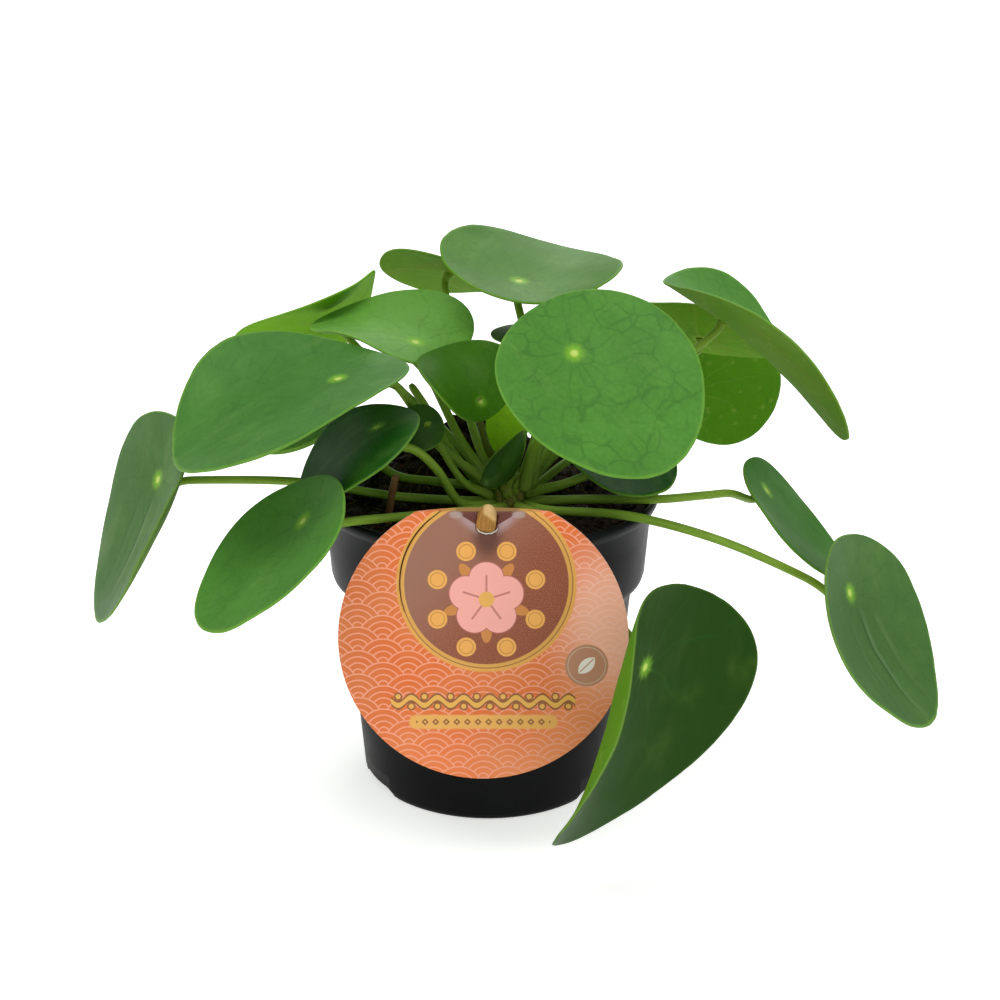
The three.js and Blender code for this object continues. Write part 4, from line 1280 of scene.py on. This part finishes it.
def card_point(x, y, side):
    """A point of the card's face (side 1 front, -1 back), with its top folded back in a tight bend."""
    bend, full = CARD["bend"], math.radians(CARD["angle"])
    start = CARD["fold"] - bend
    turn = min(full, max(0.0, (y - start) / bend))
    beyond = max(0.0, y - start - bend * full)
    if y <= start:
        up, out = y, 0.0
    else:
        up = start + bend * math.sin(turn) + beyond * math.cos(full)
        out = -bend * (1 - math.cos(turn)) - beyond * math.sin(full)
    aside, above = (x - SLOT[0]) / 5.0, (y - SLOT[1]) / 7.0
    dent = 0.9 * math.exp(-aside ** 2 - above ** 2)
    bow = 0.12 * math.sin(0.05 * x + 0.4) * math.cos(0.06 * y) - dent * (y <= start)
    offset = side * CARD["thickness"] / 2
    deep = CARD["thickness"] / 2 + out + bow + math.cos(turn) * offset
    return Vector((x, up + math.sin(turn) * offset, deep))


def card_frame():
    lean = Matrix.Rotation(math.radians(90 - CARD["lean"]), 4, "X")
    return Matrix.Translation(Vector(CARD_CENTRE) + UP) @ lean


def arc_strip(centre, radius, width, start, end, low, high, steps=40):
    """A thin curved wall that stands through the card along an arc, given in degrees."""
    points = []
    for i in range(steps + 1):
        angle = math.radians(start + (end - start) * i / steps)
        thin = width / 2 * math.sin(math.pi * (i + 0.5) / (steps + 1)) ** 0.5
        for far, level in ((-thin, low), (thin, low), (thin, high), (-thin, high)):
            far = radius + far
            points.append((centre[0] + far * math.cos(angle), centre[1] + far * math.sin(angle), level))
    return points, walls(steps + 1, 4, inward=True) + [face[::-1] for face in caps(steps + 1, 4)]


def add_card():
    place, back_again = card_frame(), card_frame().inverted()
    radius = CARD["radius"]
    start, bend, full = CARD["fold"] - CARD["bend"], CARD["bend"], math.radians(CARD["angle"])
    rows = [-radius * math.cos(math.pi * i / 120) for i in range(1, 120)]
    rows = [y for y in rows if y < start - 0.4 or y > start + 1.8]
    rows += [start + 1.5 * (i / 9) for i in range(10)]
    rows.sort()
    columns = 72
    points, faces, slots = [], [], []
    for side in (1, -1):
        for y in rows:
            half = math.sqrt(radius ** 2 - y ** 2)
            for k in range(columns + 1):
                points.append(place @ card_point(-half * math.cos(math.pi * k / columns), y, side))
    per = columns + 1
    back = len(rows) * per
    for i in range(len(rows) - 1):
        for k in range(columns):
            a = i * per + k
            faces.append((a, a + 1, a + 1 + per, a + per))
            slots.append(0)
            faces.append((back + a, back + a + per, back + a + 1 + per, back + a + 1))
            slots.append(1)
        for a, b in ((i * per, (i + 1) * per), ((i + 1) * per + columns, i * per + columns)):
            faces.append((a, b, back + b, back + a))
            slots.append(1)
    for k in range(columns):
        for a, b in ((k + 1, k), (back - per + k, back - per + k + 1)):
            faces.append((a, b, back + b, back + a))
            slots.append(1)
    paper = paper_material()
    card = make_piece("label_card_sheet", points, faces, [card_material(), paper], ["label_card"],
                      slots_of=slots)
    cutter_points, cutter_faces, _ = stake_mesh(0.15)
    cut(card, cutter_points, cutter_faces)
    slit_points, slit_faces = arc_strip(ROUNDEL, **SLIT)
    cut(card, [place @ Vector(p) for p in slit_points], slit_faces)

    def flat_place(p):
        """Where a point of the folded card was on the flat sheet."""
        x, up, out = back_again @ p
        if up <= start and out > -1.6:
            return x, up, 1.0
        if out > -bend:
            return x, start + bend * math.asin(min(1.0, max(0.0, (up - start) / (bend + 0.3)))), 1.0
        return x, start + bend * full - out - bend, 1.0

    mark(card, "card", flat_place)
    add_torn_edge(paper)


def add_torn_edge(paper):
    """The ragged rim of bare paper that the stake has pushed up round the lower side of its slot."""
    place, points, steps = card_frame(), [], 40
    for i in range(steps + 1):
        angle = math.radians(188 + 164 * i / steps)
        ragged = 0.35 + 0.3 * noise.noise(Vector((i * 0.5, 3.0, 0)))
        disc_sheen = math.sin(math.pi * i / steps) ** 0.5
        outer = ragged * disc_sheen
        for far, level in ((0.05, 0.4), (0.1, 0.75 + 0.5 * disc_sheen), (outer + 0.15, 0.95), (outer + 0.2, 0.5)):
            x = SLOT[0] + (3.1 + far) * math.cos(angle)
            y = SLOT[1] + (1.9 + far) * math.sin(angle)
            points.append(place @ (Vector((x, y, 0)) + Vector((0, 0, level - 0.9 * disc_sheen))))
    faces = [face[::-1] for face in walls(steps + 1, 4, inward=True)] + caps(steps + 1, 4)
    make_piece("label_card_torn_rim", points, faces, [paper], [], {"card": points})


add_card()
